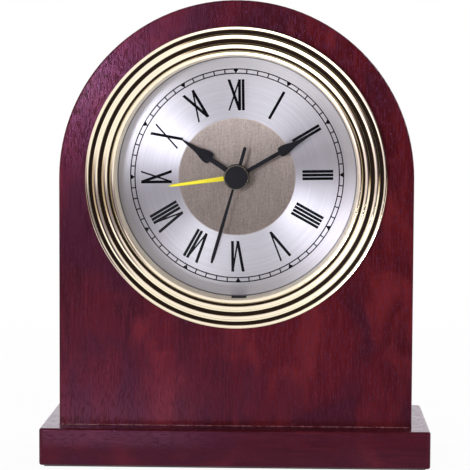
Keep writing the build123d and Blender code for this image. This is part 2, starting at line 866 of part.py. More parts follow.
rotor = wheel_part(
    rotor_place,
    [
        (arbor_front, arbor_back, thin_arbor_radius),
        (rotor_magnet_front, rotor_magnet_front + rotor_magnet_length, rotor_magnet_radius),
    ],
    [
        (rotor_level, rotor_pinion_teeth, rotor_module,
         mesh_phase(0, intermediate_wheel_teeth, rotor_pinion_teeth, rotor_angle)),
    ],
)
minute_pipe = wheel_part(
    hand_axis,
    [(minute_tube_front, minute_tube_back, minute_tube_radius)],
    [(minute_level, minute_pinion_teeth, minute_module, 0)],
    bore=second_arbor_radius + running_clearance,
)
minute_work_wheel = wheel_part(
    minute_work_place,
    [(arbor_front, setting_arbor_back, setting_arbor_radius)],
    [
        (minute_level, minute_work_wheel_teeth, minute_module,
         mesh_phase(0, minute_pinion_teeth, minute_work_wheel_teeth, minute_work_angle)),
        (hour_level, minute_work_pinion_teeth, hour_module, 0),
    ],
)
hour_wheel = wheel_part(
    hand_axis,
    [(hour_hand_back - hand_thickness - tube_proud, level_back(hour_level), hour_tube_radius)],
    [
        (hour_level, hour_wheel_teeth, hour_module,
         mesh_phase(0, minute_work_pinion_teeth, hour_wheel_teeth, minute_work_angle + 180)),
    ],
    bore=minute_tube_radius + running_clearance,
)
alarm_wheel = wheel_part(
    hand_axis,
    [(alarm_hand_back - hand_thickness - tube_proud, level_back(alarm_level), alarm_tube_radius)],
    [(alarm_level, alarm_wheel_teeth, alarm_module, 0)],
    bore=hour_tube_radius + running_clearance,
)
alarm_setting_wheel = wheel_part(
    alarm_setting_place,
    [(arbor_front, setting_arbor_back, setting_arbor_radius)],
    [
        (alarm_level, alarm_setting_teeth, alarm_module,
         mesh_phase(0, alarm_wheel_teeth, alarm_setting_teeth, alarm_setting_angle)),
    ],
)

# Knobs on the setting arbors
time_knob = knob_part(minute_work_place, time_knob_radius, knob_front, setting_arbor_radius)
alarm_knob = knob_part(alarm_setting_place, alarm_knob_radius, knob_front, setting_arbor_radius)

# Alarm switch: a button outside the cover, a stem in the slot and a flange inside
flange_back = cover_floor - switch_gap
button_front = cover_back + switch_gap
with BuildPart() as alarm_switch:
    with BuildSketch(facing(switch_place, button_front + switch_button_height)):
        RectangleRounded(switch_button_size, switch_button_size, switch_stem_width / 4)
    extrude(amount=switch_button_height)
    with BuildSketch(facing(switch_place, button_front)):
        Rectangle(switch_stem_length, switch_stem_width)
    extrude(amount=button_front - flange_back)
    with BuildSketch(facing(switch_place, flange_back)):
        Rectangle(switch_flange_size, switch_flange_size)
    extrude(amount=switch_flange_thickness)
    with BuildSketch(facing(switch_place, button_front + switch_button_height)):
        with GridLocations(switch_button_size / 4, 0, 3, 1):
            Rectangle(switch_button_size / 10, switch_button_size)
    extrude(amount=switch_button_height / 5, mode=Mode.SUBTRACT)

# Stator plate round the rotor, with a leg up to each end of the core
stator_top = coil_up + core_height / 2
with BuildPart() as stator:
    with BuildSketch(facing(hand_axis, stator_back)):
        with Locations(((stator_left + stator_right) / 2, rotor_place[1])):
            Rectangle(stator_right - stator_left, stator_bar_height)
        for left in (stator_left, stator_right - stator_leg_width):
            with Locations((left + stator_leg_width / 2, (rotor_place[1] + stator_top) / 2)):
                Rectangle(stator_leg_width, stator_top - rotor_place[1])
        with Locations(rotor_place):
            Circle(rotor_hole_radius, mode=Mode.SUBTRACT)
    extrude(amount=stator_thickness)

# Core bar through the coil, lying on the stator's legs
with BuildPart() as coil_core:
    with BuildSketch(facing(((stator_left + stator_right) / 2, coil_up), stator_back + stator_thickness)):
        Rectangle(stator_right - stator_left, core_height)
    extrude(amount=stator_thickness)

# Bobbin round the core and the winding between its flanges
with BuildPart() as coil_bobbin:
    for left in (coil_left, coil_right - coil_flange_thickness):
        with BuildSketch(across_plane(left, coil_up, core_middle)):
            Circle(coil_radius)
        extrude(amount=coil_flange_thickness)
    with BuildSketch(across_plane(coil_left, coil_up, core_middle)):
        Circle(coil_hub_radius)
    extrude(amount=coil_right - coil_left)
    with BuildSketch(across_plane(coil_left - cut_overrun, coil_up, core_middle)):
        Rectangle(stator_thickness + 2 * seat_clearance, core_height + 2 * seat_clearance)
    extrude(amount=coil_right - coil_left + 2 * cut_overrun, mode=Mode.SUBTRACT)

winding_left = coil_left + coil_flange_thickness + seat_clearance
winding_right = coil_right - coil_flange_thickness - seat_clearance
with BuildPart() as coil_winding:
    with BuildSketch(across_plane(winding_left, coil_up, core_middle)):
        Circle(coil_radius - 2 * seat_clearance)
        Circle(coil_hub_radius + running_clearance, mode=Mode.SUBTRACT)
    extrude(amount=winding_right - winding_left)

# Circuit board with its chip and crystal
with BuildPart() as circuit_board:
    with BuildSketch(facing(board_place, board_back)):
        Rectangle(board_width, board_height)
    extrude(amount=board_thickness)

chip_place = (board_place[0], board_place[1] + board_height / 4)
with BuildPart() as chip:
    with BuildSketch(facing(chip_place, board_back + chip_height)):
        Circle(chip_radius)
    extrude(amount=chip_height)
    fillet(chip.faces().sort_by(Axis.Y)[-1].edges(), chip_height / 2)

crystal_place = (board_place[0], board_place[1] - board_height / 4)
crystal_left = crystal_place[0] - crystal_length / 2
with BuildPart() as quartz_crystal:
    with BuildSketch(across_plane(crystal_left, crystal_place[1], board_back + crystal_radius)):
        Circle(crystal_radius)
    extrude(amount=crystal_length)

# Buzzer against the back cover, behind its sound holes
with BuildPart() as buzzer:
    with BuildSketch(facing(buzzer_place, cover_floor)):
        Circle(buzzer_radius)
    extrude(amount=buzzer_thickness)
    with BuildSketch(facing(buzzer_place, cover_floor)):
        Circle(buzzer_radius - shell_wall)
    extrude(amount=buzzer_thickness / 2, mode=Mode.SUBTRACT)

# Battery lying across the bay, and its two contacts
battery_left = -battery_length / 2
nub_left = battery_length / 2 - battery_nub_length
with BuildPart() as battery:
    with BuildSketch(across_plane(battery_left, bay_middle, battery_depth)):
        Circle(battery_radius)
    extrude(amount=battery_length - battery_nub_length)
    fillet(battery.edges(), battery_edge_radius)
    with BuildSketch(across_plane(nub_left, bay_middle, battery_depth)):
        Circle(battery_nub_radius)
    extrude(amount=battery_nub_length)

contact_wall = room_width / 2
contact_button_height = bay_end_room - contact_thickness - seat_clearance
with BuildPart() as positive_contact:
    with BuildSketch(across_plane(contact_wall - contact_thickness, bay_middle, battery_depth)):
        Rectangle(contact_reach, contact_width)
    extrude(amount=contact_thickness)
    with BuildSketch(across_plane(contact_wall - contact_thickness, bay_middle, battery_depth)):
        Circle(contact_button_radius)
    extrude(amount=-contact_button_height)

# Leaf folded over towards the battery's flat end
leaf_back = case_front + battery_depth + contact_reach / 2
leaf_front = case_front + battery_depth - contact_reach / 2
leaf_wall = contact_thickness / 2 - contact_wall
leaf_touch = battery_left - seat_clearance - contact_thickness
with BuildPart() as negative_contact:
    with BuildSketch(Plane.XY.offset(axis_height + bay_middle)):
        with BuildLine():
            Polyline(
                (leaf_wall, leaf_front),
                (leaf_wall, leaf_back),
                (leaf_touch, case_front + battery_depth),
                ((leaf_wall + leaf_touch) / 2, leaf_front + contact_reach / 6),
            )
        trace(line_width=contact_thickness)
    extrude(amount=contact_width / 2, both=True)

# Hands, from the dial outwards
alarm_root = alarm_hand_root / 2
alarm_tip = alarm_hand_tip / 2
with BuildPart() as alarm_hand:
    with BuildSketch(facing(hand_axis, alarm_hand_back, alarm_hand_angle)):
        with BuildLine():
            Polyline(
                (-alarm_root, 0),
                (alarm_root, 0),
                (alarm_tip, alarm_hand_length - alarm_hand_root),
                (0, alarm_hand_length),
                (-alarm_tip, alarm_hand_length - alarm_hand_root),
                close=True,
            )
        make_face()
        Circle(alarm_boss_radius)
        Circle(alarm_tube_radius + running_clearance, mode=Mode.SUBTRACT)
    extrude(amount=hand_thickness)

hour_hand = spade_hand(
    hour_hand_angle,
    hour_hand_back,
    hour_hand_length,
    hour_hand_stem,
    hour_hand_spade,
    spade_neck_share,
    hour_boss_radius,
    hour_tube_radius + running_clearance,
)
minute_hand = spade_hand(
    minute_hand_angle,
    minute_hand_back,
    minute_hand_length,
    minute_hand_stem,
    minute_hand_spade,
    minute_neck_share,
    minute_boss_radius,
    minute_tube_radius + running_clearance,
)

second_root = second_hand_root / 2
second_blade = second_hand_blade / 2
second_wide, second_narrow = [second_hand_length * share for share in second_blade_shares]
tail_middle = second_hand_tail_width / 2 - second_hand_tail
with BuildPart() as second_hand:
    with BuildSketch(facing(hand_axis, second_hand_back, second_hand_angle)):
        with BuildLine():
            Polyline(
                (-second_root, 0),
                (second_root, 0),
                (second_blade, second_wide),
                (second_blade, second_narrow),
                (second_root, second_hand_length),
                (-second_root, second_hand_length),
                (-second_blade, second_narrow),
                (-second_blade, second_wide),
                close=True,
            )
        make_face()
        with Locations((0, tail_middle / 2)):
            Rectangle(second_hand_tail_width, -tail_middle)
        with Locations((0, tail_middle)):
            Circle(second_hand_tail_width / 2)
    extrude(amount=hand_thickness)
    with BuildSketch(facing(hand_axis, second_hand_back)):
        Circle(second_boss_radius)
    extrude(amount=second_hand_back - second_boss_front)
    fillet(second_hand.faces().sort_by(Axis.Y)[0].edges(), hand_thickness / 2)
    with BuildSketch(facing(hand_axis, second_hand_back)):
        Circle(second_arbor_radius + running_clearance)
    extrude(amount=second_boss_height, mode=Mode.SUBTRACT)

# One file for each piece
pieces = {
    "wood_base": wood_base,
    "wood_case": wood_case,
    "base_screws": base_screws,
    "felt_sheet": felt_sheet,
    "bezel": bezel,
    "lens": lens,
    "spacer_ring": spacer_ring,
    "dial": dial,
    "insert_housing": insert_housing,
    "retaining_ring": retaining_ring,
    "movement_front_shell": movement_front_shell,
    "movement_back_cover": movement_back_cover,
    "cover_screws": cover_screws,
    "ear_screws": ear_screws,
    "second_wheel": second_wheel,
    "third_wheel": third_wheel,
    "centre_wheel": centre_wheel,
    "intermediate_wheel": intermediate_wheel,
    "rotor": rotor,
    "minute_pipe": minute_pipe,
    "minute_work_wheel": minute_work_wheel,
    "hour_wheel": hour_wheel,
    "alarm_wheel": alarm_wheel,
    "alarm_setting_wheel": alarm_setting_wheel,
    "time_knob": time_knob,
    "alarm_knob": alarm_knob,
    "alarm_switch": alarm_switch,
    "stator": stator,
    "coil_core": coil_core,
    "coil_bobbin": coil_bobbin,
    "coil_winding": coil_winding,
    "circuit_board": circuit_board,
    "chip": chip,
    "quartz_crystal": quartz_crystal,
    "buzzer": buzzer,
    "battery": battery,
    "positive_contact": positive_contact,
    "negative_contact": negative_contact,
    "alarm_hand": alarm_hand,
    "hour_hand": hour_hand,
    "minute_hand": minute_hand,
    "second_hand": second_hand,
}
os.makedirs("parts", exist_ok=True)
for label, piece in pieces.items():
    piece.part.label = label
    export_step(piece.part, f"parts/{label}.step")
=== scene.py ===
"""Looks of an arched wooden table clock with a round alarm insert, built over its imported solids."""
import logging
import math
from dataclasses import dataclass, field
from enum import Enum
from typing import Any

import bmesh
import bpy
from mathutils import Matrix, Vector


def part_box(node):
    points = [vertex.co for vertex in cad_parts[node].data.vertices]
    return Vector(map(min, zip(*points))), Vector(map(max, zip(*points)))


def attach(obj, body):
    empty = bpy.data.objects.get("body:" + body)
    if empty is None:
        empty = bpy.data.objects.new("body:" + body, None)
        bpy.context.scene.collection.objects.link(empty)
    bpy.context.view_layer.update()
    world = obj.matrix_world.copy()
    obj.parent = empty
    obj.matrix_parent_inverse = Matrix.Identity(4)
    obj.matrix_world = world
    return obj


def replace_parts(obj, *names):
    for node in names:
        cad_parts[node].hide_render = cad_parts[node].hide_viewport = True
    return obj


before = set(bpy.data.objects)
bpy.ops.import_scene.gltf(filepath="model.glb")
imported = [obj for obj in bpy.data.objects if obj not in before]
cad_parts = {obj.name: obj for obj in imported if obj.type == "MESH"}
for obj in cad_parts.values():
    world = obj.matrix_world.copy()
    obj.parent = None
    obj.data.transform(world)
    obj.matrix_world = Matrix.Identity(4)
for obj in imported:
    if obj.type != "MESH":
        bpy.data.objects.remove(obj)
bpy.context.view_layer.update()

log = logging.getLogger("table_clock")
Pair = tuple[float, float]
Triple = tuple[float, float, float]
Colour = tuple[float, float, float, float]
Socket = bpy.types.NodeSocket
Node = bpy.types.Node
Tree = bpy.types.NodeTree
Material = bpy.types.Material
Mesh = bpy.types.Mesh
MM = 0.001
WHITE: Colour = (1.0, 1.0, 1.0, 1.0)
ACROSS_AND_UP: Triple = (1.0, 0.0, 1.0)
QUARTER_TURN: Triple = (0.0, math.pi / 2, 0.0)
NOISE_MIDDLE = 0.5
NOISE_SPAN: Pair = (0.3, 0.7)


def screen(red: int, green: int, blue: int) -> Colour:
    """Turn a colour as a screen shows it into a linear one.

    Args:
        red, green, blue: parts of the colour, from 0 to 255.
    Returns:
        The linear colour with full alpha.
    """
    parts = [part / 255 for part in (red, green, blue)]
    linear = [p / 12.92 if p <= 0.04045 else ((p + 0.055) / 1.055) ** 2.4 for p in parts]
    return (linear[0], linear[1], linear[2], 1.0)


class Run(Enum):
    """Which way a grain or a set of fine lines runs."""

    UPRIGHT = "upright"
    ACROSS = "across"
    ROUND = "round"


class Graph:
    """A node tree that is written one node at a time."""

    def __init__(self, tree: Tree) -> None:
        """Keep the tree and empty it."""
        self.tree = tree
        tree.nodes.clear()

    def add(self, kind: str, inputs: dict[Any, Any] | None = None, **settings: Any) -> Node:
        """Add a node.

        Args:
            kind: Blender's name of the node.
            inputs: values or sockets for its inputs, by name or number.
            settings: properties of the node.
        Returns:
            The new node.
        """
        node = self.tree.nodes.new(kind)
        for key, value in settings.items():
            setattr(node, key, value)
        self.wire(node, inputs or {})
        return node

    def made(self, kind: str, inputs: dict[Any, Any] | None = None, **settings: Any) -> Socket:
        """Add a node and return its first output."""
        return self.add(kind, inputs, **settings).outputs[0]

    def wire(self, node: Node, inputs: dict[Any, Any]) -> None:
        """Link sockets to a node's inputs, or set the inputs' own values.

        Args:
            node: the node.
            inputs: values or sockets for its inputs, by name or number.
        """
        for key, value in inputs.items():
            if isinstance(value, Socket):
                self.tree.links.new(value, node.inputs[key])
            else:
                node.inputs[key].default_value = value

    def group(self, tree: Tree, inputs: dict[str, Any]) -> Any:
        """Place a shared effect with its own values and return its outputs."""
        return self.add("ShaderNodeGroup", inputs, node_tree=tree).outputs

    def math(self, operation: str, first: Any, second: Any = 0.0, clamp: bool = False) -> Socket:
        """Add a sum of two numbers and return its result."""
        return self.made("ShaderNodeMath", {0: first, 1: second}, operation=operation, use_clamp=clamp)

    def line(self, value: Any, slope: Any, offset: Any, clamp: bool = False) -> Socket:
        """Return a number times a slope, plus an offset."""
        inputs = {0: value, 1: slope, 2: offset}
        return self.made("ShaderNodeMath", inputs, operation="MULTIPLY_ADD", use_clamp=clamp)

    def vector(self, operation: str, first: Any, second: Any = (0.0, 0.0, 0.0)) -> Socket:
        """Add a sum of two vectors.

        Args:
            operation: Blender's name of the sum.
            first: the first vector.
            second: the second vector, or the number that scales the first.
        Returns:
            The result, a number for a length or a dot product.
        """
        node = self.add("ShaderNodeVectorMath", {0: first}, operation=operation)
        if operation == "SCALE":
            self.wire(node, {"Scale": second})
        elif operation != "LENGTH":
            self.wire(node, {1: second})
        return node.outputs["Value" if operation in ("LENGTH", "DOT_PRODUCT") else 0]

    def axis(self, vector: Any, name: str) -> Socket:
        """Return one part of a vector."""
        return self.add("ShaderNodeSeparateXYZ", {0: vector}).outputs[name]

    def joined(self, x: Any = 0.0, y: Any = 0.0, z: Any = 0.0) -> Socket:
        """Return a vector made of three numbers."""
        return self.made("ShaderNodeCombineXYZ", {"X": x, "Y": y, "Z": z})

    def mix(self, share: Any, first: Any, second: Any) -> Socket:
        """Mix two colours and return the result."""
        return self.add("ShaderNodeMix", {0: share, 6: first, 7: second}, data_type="RGBA").outputs[2]

    def ramp(self, value: Any, low: float, high: float, start: Any = 0.0, end: Any = 1.0) -> Socket:
        """Map a range of a number onto another, smoothly, and return the result."""
        inputs = {"Value": value, "From Min": low, "From Max": high, "To Min": start, "To Max": end}
        return self.made("ShaderNodeMapRange", inputs, interpolation_type="SMOOTHSTEP")

    def noise(self, vector: Any, scale: Any, detail: float = 3.0, warp: float = 0.0) -> Socket:
        """Add noise and return its value."""
        inputs = {"Vector": vector, "Scale": scale, "Detail": detail, "Distortion": warp}
        return self.made("ShaderNodeTexNoise", inputs)


def group_of(name: str, inputs: dict[str, Any], outputs: dict[str, str]) -> tuple[Graph, Any, Node]:
    """Start a shader node group.

    Args:
        name: name of the group.
        inputs: a first value for each input; a tuple of three is a vector, of four a colour.
        outputs: the kind of each output.
    Returns:
        The group's graph, the sockets of what it is given, and its output node.
    """
    tree = bpy.data.node_groups.new(name, "ShaderNodeTree")
    kinds = {3: "NodeSocketVector", 4: "NodeSocketColor"}
    for label, value in inputs.items():
        kind = kinds[len(value)] if isinstance(value, tuple) else "NodeSocketFloat"
        tree.interface.new_socket(name=label, in_out="INPUT", socket_type=kind).default_value = value
    for label, kind in outputs.items():
        tree.interface.new_socket(name=label, in_out="OUTPUT", socket_type=kind)
    graph = Graph(tree)
    return graph, graph.add("NodeGroupInput").outputs, graph.add("NodeGroupOutput")


class Effects:
    """Shader node groups that several finishes share, each built once."""

    surface_outputs = {
        "Colour": "NodeSocketColor", "Roughness": "NodeSocketFloat", "Height": "NodeSocketFloat"}
    line_inputs = {"Vector": (0.0, 0.0, 0.0), "Density": 3000.0}
    line_outputs = {"Lines": "NodeSocketFloat"}
    slow_share, fine_share, fine_ratio, swing_gain = 0.7, 0.3, 9.0, 4.0
    brush_length = (1.0, 1.0, 0.06)
    fine_line_share, coarse_line_share, coarse_ratio = 0.6, 0.4, 0.6
    speck_colour = (0.32, 0.16, 0.18, 1.0)
    band_span, pore_span = (0.24, 0.66), (0.52, 0.66)
    fibre_gloss, pore_gloss, fibre_relief = (0.17, 0.25), 0.15, 0.5
    # Layers of the wood: how far they are drawn out along the grain, scale, detail and warp.
    wood_layers = {
        "bands": (0.22, 80.0, 4.0, 1.2), "fibres": (0.07, 1700.0, 4.0, 0.3),
        "pores": (0.17, 2400.0, 2.0, 0.0), "clouds": (0.8, 48.0, 4.0, 0.6),
        "patches": (0.6, 75.0, 5.0, 0.8), "specks": (1.0, 2600.0, 0.0, 0.0)}

    def __init__(self) -> None:
        """Build every group."""
        self.mottle = self.build_mottle()
        self.straight = self.build_straight_lines()
        self.turned = self.build_turned_lines()
        self.grain = self.build_wood_grain()

    def build_mottle(self) -> Tree:
        """Build slow changes of tone and gloss with a fine skin texture.

        Returns:
            The group.
        """
        graph, given, out = group_of(
            "Surface mottle",
            {"Vector": (0.0, 0.0, 0.0), "Colour": (0.5, 0.5, 0.5, 1.0), "Scale": 200.0, "Tone Shift": 0.1,
             "Roughness": 0.5, "Roughness Shift": 0.1}, self.surface_outputs)
        slow = graph.noise(given["Vector"], given["Scale"], 4.0)
        fine = graph.noise(given["Vector"], graph.math("MULTIPLY", given["Scale"], self.fine_ratio), 2.0)
        swing = graph.line(slow, self.slow_share, graph.line(fine, self.fine_share, -NOISE_MIDDLE))
        tone = graph.line(swing, graph.math("MULTIPLY", given["Tone Shift"], self.swing_gain), 1.0)
        gloss = graph.math("MULTIPLY", given["Roughness Shift"], self.swing_gain)
        graph.wire(out, {
            "Colour": graph.vector("SCALE", given["Colour"], tone),
            "Roughness": graph.line(swing, gloss, given["Roughness"], True), "Height": fine})
        return graph.tree

    def build_straight_lines(self) -> Tree:
        """Build fine brushed lines that run along Z.

        Returns:
            The group.
        """
        graph, given, out = group_of("Straight brushing", self.line_inputs, self.line_outputs)
        squeezed = graph.vector("MULTIPLY", given["Vector"], self.brush_length)
        fine = graph.noise(squeezed, given["Density"], 2.0)
        coarse = graph.noise(squeezed, graph.math("MULTIPLY", given["Density"], self.coarse_ratio), 2.0)
        coarse = graph.math("MULTIPLY", coarse, self.coarse_line_share)
        graph.wire(out, {"Lines": graph.line(fine, self.fine_line_share, coarse)})
        return graph.tree

    def build_turned_lines(self) -> Tree:
        """Build fine turned lines round the Y axis.

        Returns:
            The group.
        """
        graph, given, out = group_of("Turned brushing", self.line_inputs, self.line_outputs)
        flat = graph.vector("MULTIPLY", given["Vector"], ACROSS_AND_UP)
        way = graph.vector("NORMALIZE", flat)
        reach = graph.math("ADD", graph.vector("LENGTH", flat), graph.axis(given["Vector"], "Y"))
        across = graph.math("MULTIPLY", reach, given["Density"])
        place = graph.joined(across, graph.axis(way, "X"), graph.axis(way, "Z"))
        graph.wire(out, {"Lines": graph.noise(place, 1.0)})
        return graph.tree

    def build_wood_grain(self) -> Tree:
        """Build stained wood whose grain runs along Z: growth bands, fibres, pores and stain clouds.

        Returns:
            The group.
        """
        graph, given, out = group_of(
            "Stained grain",
            {"Vector": (0.0, 0.0, 0.0), "Dark": (0.05, 0.01, 0.01, 1.0), "Middle": (0.1, 0.02, 0.02, 1.0),
             "Light": (0.2, 0.04, 0.04, 1.0), "Cloud": (0.05, 0.02, 0.04, 1.0)}, self.surface_outputs)
        layers = {}
        for name, (length, scale, detail, warp) in self.wood_layers.items():
            squeezed = graph.vector("MULTIPLY", given["Vector"], (1.0, 1.0, length))
            layers[name] = graph.noise(squeezed, scale, detail, warp)
        tone = graph.mix(graph.ramp(layers["bands"], *self.band_span), given["Dark"], given["Middle"])
        # Stain over stain: the layer, where it starts and is full, how much it covers, and its colour.
        for name, span, cover, stain in (
                ("fibres", (0.44, 0.76), 0.40, given["Light"]),
                ("patches", (0.50, 0.68), 0.75, given["Light"]),
                ("clouds", (0.48, 0.66), 0.85, given["Cloud"]),
                ("pores", self.pore_span, 0.60, given["Dark"]),
                ("specks", (0.80, 0.86), 0.16, self.speck_colour)):
            tone = graph.mix(graph.ramp(layers[name], *span, 0.0, cover), tone, stain)
        pore = graph.ramp(layers["pores"], *self.pore_span)
        gloss = graph.ramp(layers["fibres"], *NOISE_SPAN, *self.fibre_gloss)
        relief = graph.math("SUBTRACT", graph.math("MULTIPLY", layers["fibres"], self.fibre_relief), pore)
        graph.wire(out, {
            "Colour": tone, "Roughness": graph.line(pore, self.pore_gloss, gloss), "Height": relief})
        return graph.tree


@dataclass
class Draft:
    """A material that is being written: its graph, its main shader and the place on the piece."""

    effects: Effects
    graph: Graph
    shader: Node
    place: Socket

    def placed(self, centre: Vector, run: Run = Run.UPRIGHT) -> Socket:
        """Centre the place on a point and turn it so that a pattern runs the right way.

        Args:
            centre: the point.
            run: the way that the pattern runs.
        Returns:
            The new place.
        """
        shifted = self.graph.vector("SUBTRACT", self.place, tuple(centre))
        if run is not Run.ACROSS:
            return shifted
        return self.graph.made("ShaderNodeMapping", {"Vector": shifted, "Rotation": QUARTER_TURN})

    def lines(self, place: Socket, run: Run, density: float) -> Socket:
        """Place fine lines, turned or straight, and return them."""
        tree = self.effects.turned if run is Run.ROUND else self.effects.straight
        return self.graph.group(tree, {"Vector": place, "Density": density})["Lines"]

    def mottle(self, colour: Any, scale: float, tone_shift: float, roughness: float, gloss_shift: float,
               place: Socket | None = None) -> Any:
        """Place the mottle effect.

        Args:
            colour: colour or socket that is mottled.
            scale: how many blotches there are to the metre.
            tone_shift: how far the tone swings.
            roughness: the middle roughness.
            gloss_shift: how far the roughness swings.
            place: another place than the piece's own.
        Returns:
            The outputs Colour, Roughness and Height.
        """
        return self.graph.group(self.effects.mottle, {
            "Vector": self.place if place is None else place, "Colour": colour, "Scale": scale,
            "Tone Shift": tone_shift, "Roughness": roughness, "Roughness Shift": gloss_shift})

    def paint(self, inputs: dict[str, Any]) -> None:
        """Link or set the main shader's inputs."""
        self.graph.wire(self.shader, inputs)

    def bump(self, height: Socket, strength: float, depth: float) -> None:
        """Let a height shape the light on the surface."""
        inputs = {"Strength": strength, "Distance": depth, "Height": height}
        self.paint({"Normal": self.graph.made("ShaderNodeBump", inputs)})


@dataclass
class Bench:
    """What every finish is made with: the shared effects and the materials made so far."""

    effects: Effects
    made: dict[str, Material] = field(default_factory=dict)

    def start(self, name: str) -> Draft:
        """Start a material.

        Args:
            name: name of the material.
        Returns:
            The material as a draft.
        """
        material = bpy.data.materials.new(name)
        material.use_nodes = True
        self.made[name] = material
        graph = Graph(material.node_tree)
        shader = graph.add("ShaderNodeBsdfPrincipled")
        graph.add("ShaderNodeOutputMaterial", {"Surface": shader.outputs[0]})
        return Draft(self.effects, graph, shader, graph.add("ShaderNodeTexCoord").outputs["Object"])


@dataclass(frozen=True)
class Finish:
    """A surface whose material is made once."""

    name: str

    def material(self, bench: Bench) -> Material:
        """Make the material on the first call.

        Args:
            bench: the shared effects and the materials made so far.
        Returns:
            The material.
        """
        if self.name not in bench.made:
            self.make(bench.start(self.name))
        return bench.made[self.name]

    def make(self, draft: Draft) -> None:
        """Write the material's nodes; each finish has its own."""
        raise NotImplementedError(self.name)


@dataclass(frozen=True)
class Lacquer(Finish):
    """Stained wood under gloss lacquer."""

    run: Run
    dark: Colour
    middle: Colour
    light: Colour
    cloud: Colour
    shine: float = 0.28
    shine_tint: Colour = (1.0, 0.34, 0.80, 1.0)
    coat: float = 0.04
    coat_roughness: float = 0.10
    relief: float = 0.38
    relief_depth: float = 0.05 * MM

    def make(self, draft: Draft) -> None:
        """Write the grain, the gloss and the open pores.

        Args:
            draft: the material to write.
        """
        grain = draft.graph.group(draft.effects.grain, {
            "Vector": draft.placed(Vector(), self.run), "Dark": self.dark, "Middle": self.middle,
            "Light": self.light, "Cloud": self.cloud})
        draft.paint({
            "Base Color": grain["Colour"], "Roughness": grain["Roughness"], "Specular IOR Level": self.shine,
            "Specular Tint": self.shine_tint, "Coat Weight": self.coat,
            "Coat Roughness": self.coat_roughness})
        draft.bump(grain["Height"], self.relief, self.relief_depth)


@dataclass(frozen=True)
class Metal(Finish):
    """Plain, brushed or turned metal."""

    colour: Colour
    roughness: float
    run: Run = Run.UPRIGHT
    density: float = 2500.0
    line_depth: float = 0.01 * MM
    tone_shift: float = 0.05
    centre: Vector = field(default_factory=Vector)
    mottle_scale: float = 120.0
    gloss_shift: float = 0.03
    line_tone: Pair = (0.16, 0.92)
    line_relief: float = 0.2

    def make(self, draft: Draft) -> None:
        """Write the lines and the mottled tone.

        Args:
            draft: the material to write.
        """
        graph = draft.graph
        lines = draft.lines(draft.placed(self.centre, self.run), self.run, self.density)
        mottle = draft.mottle(
            self.colour, self.mottle_scale, self.tone_shift, self.roughness, self.gloss_shift)
        draft.paint({
            "Base Color": graph.vector("SCALE", mottle["Colour"], graph.line(lines, *self.line_tone)),
            "Roughness": mottle["Roughness"], "Metallic": 1.0})
        draft.bump(lines, self.line_relief, self.line_depth)


@dataclass(frozen=True)
class BeadedGold(Finish):
    """Bright gold plate whose turned grooves carry a dark lacquer colour, a painted shade for the dark that
    the grooves show.
    """

    centre: Vector
    grooves: tuple[Pair, ...]
    gold: Colour = screen(254, 242, 210)
    # The dark lacquer colour is painted shade in the grooves between the beads.
    lacquer: Colour = screen(30, 17, 9)
    soft: float = 0.07 * MM
    wander: float = 0.06 * MM
    wander_scale: float = 700.0
    line_density: float = 1600.0
    line_relief: float = 0.10
    line_depth: float = 0.001 * MM
    groove_shade_roughness: float = 0.25
    groove_shade_shine: float = 0.05

    def make(self, draft: Draft) -> None:
        """Write the gold, and the painted shade in a dark lacquer colour between the grooves' uneven edges.

        Args:
            draft: the material to write.
        """
        graph, local = draft.graph, draft.placed(self.centre)
        radius = graph.vector("LENGTH", graph.vector("MULTIPLY", local, ACROSS_AND_UP))
        uneven = graph.math("SUBTRACT", graph.noise(local, self.wander_scale), NOISE_MIDDLE)
        radius = graph.line(uneven, self.wander, radius)
        dark: Any = 0.0
        # Painted shade: each groove between two beads is painted dark.
        for inner, outer in self.grooves:
            inside = graph.ramp(radius, inner - self.soft, inner + self.soft)
            outside = graph.ramp(radius, outer - self.soft, outer + self.soft, 1.0, 0.0)
            dark = graph.math("MAXIMUM", dark, graph.math("MULTIPLY", inside, outside))
        mottle = draft.mottle(self.gold, scale=160.0, tone_shift=0.03, roughness=0.07, gloss_shift=0.02,
                              place=local)
        draft.paint({
            "Base Color": graph.mix(dark, mottle["Colour"], self.lacquer),
            "Roughness": graph.line(dark, self.groove_shade_roughness, mottle["Roughness"]),
            "Metallic": graph.math("SUBTRACT", 1.0, dark), "Specular IOR Level": self.groove_shade_shine})
        draft.bump(draft.lines(local, Run.ROUND, self.line_density), self.line_relief, self.line_depth)


@dataclass(frozen=True)
class Skin(Finish):
    """Moulded plastic, rubber, paint or epoxy."""

    colour: Colour
    roughness: float
    scale: float = 160.0
    tone_shift: float = 0.06
    skin_depth: float = 0.02 * MM
    coat: float = 0.0
    shine: float = 0.5
    gloss_shift: float = 0.06
    relief: float = 0.35

    def make(self, draft: Draft) -> None:
        """Write the mottled tone and the fine skin.

        Args:
            draft: the material to write.
        """
        mottle = draft.mottle(self.colour, self.scale, self.tone_shift, self.roughness, self.gloss_shift)
        draft.paint({
            "Base Color": mottle["Colour"], "Roughness": mottle["Roughness"], "Coat Weight": self.coat,
            "Specular IOR Level": self.shine})
        draft.bump(mottle["Height"], self.relief, self.skin_depth)


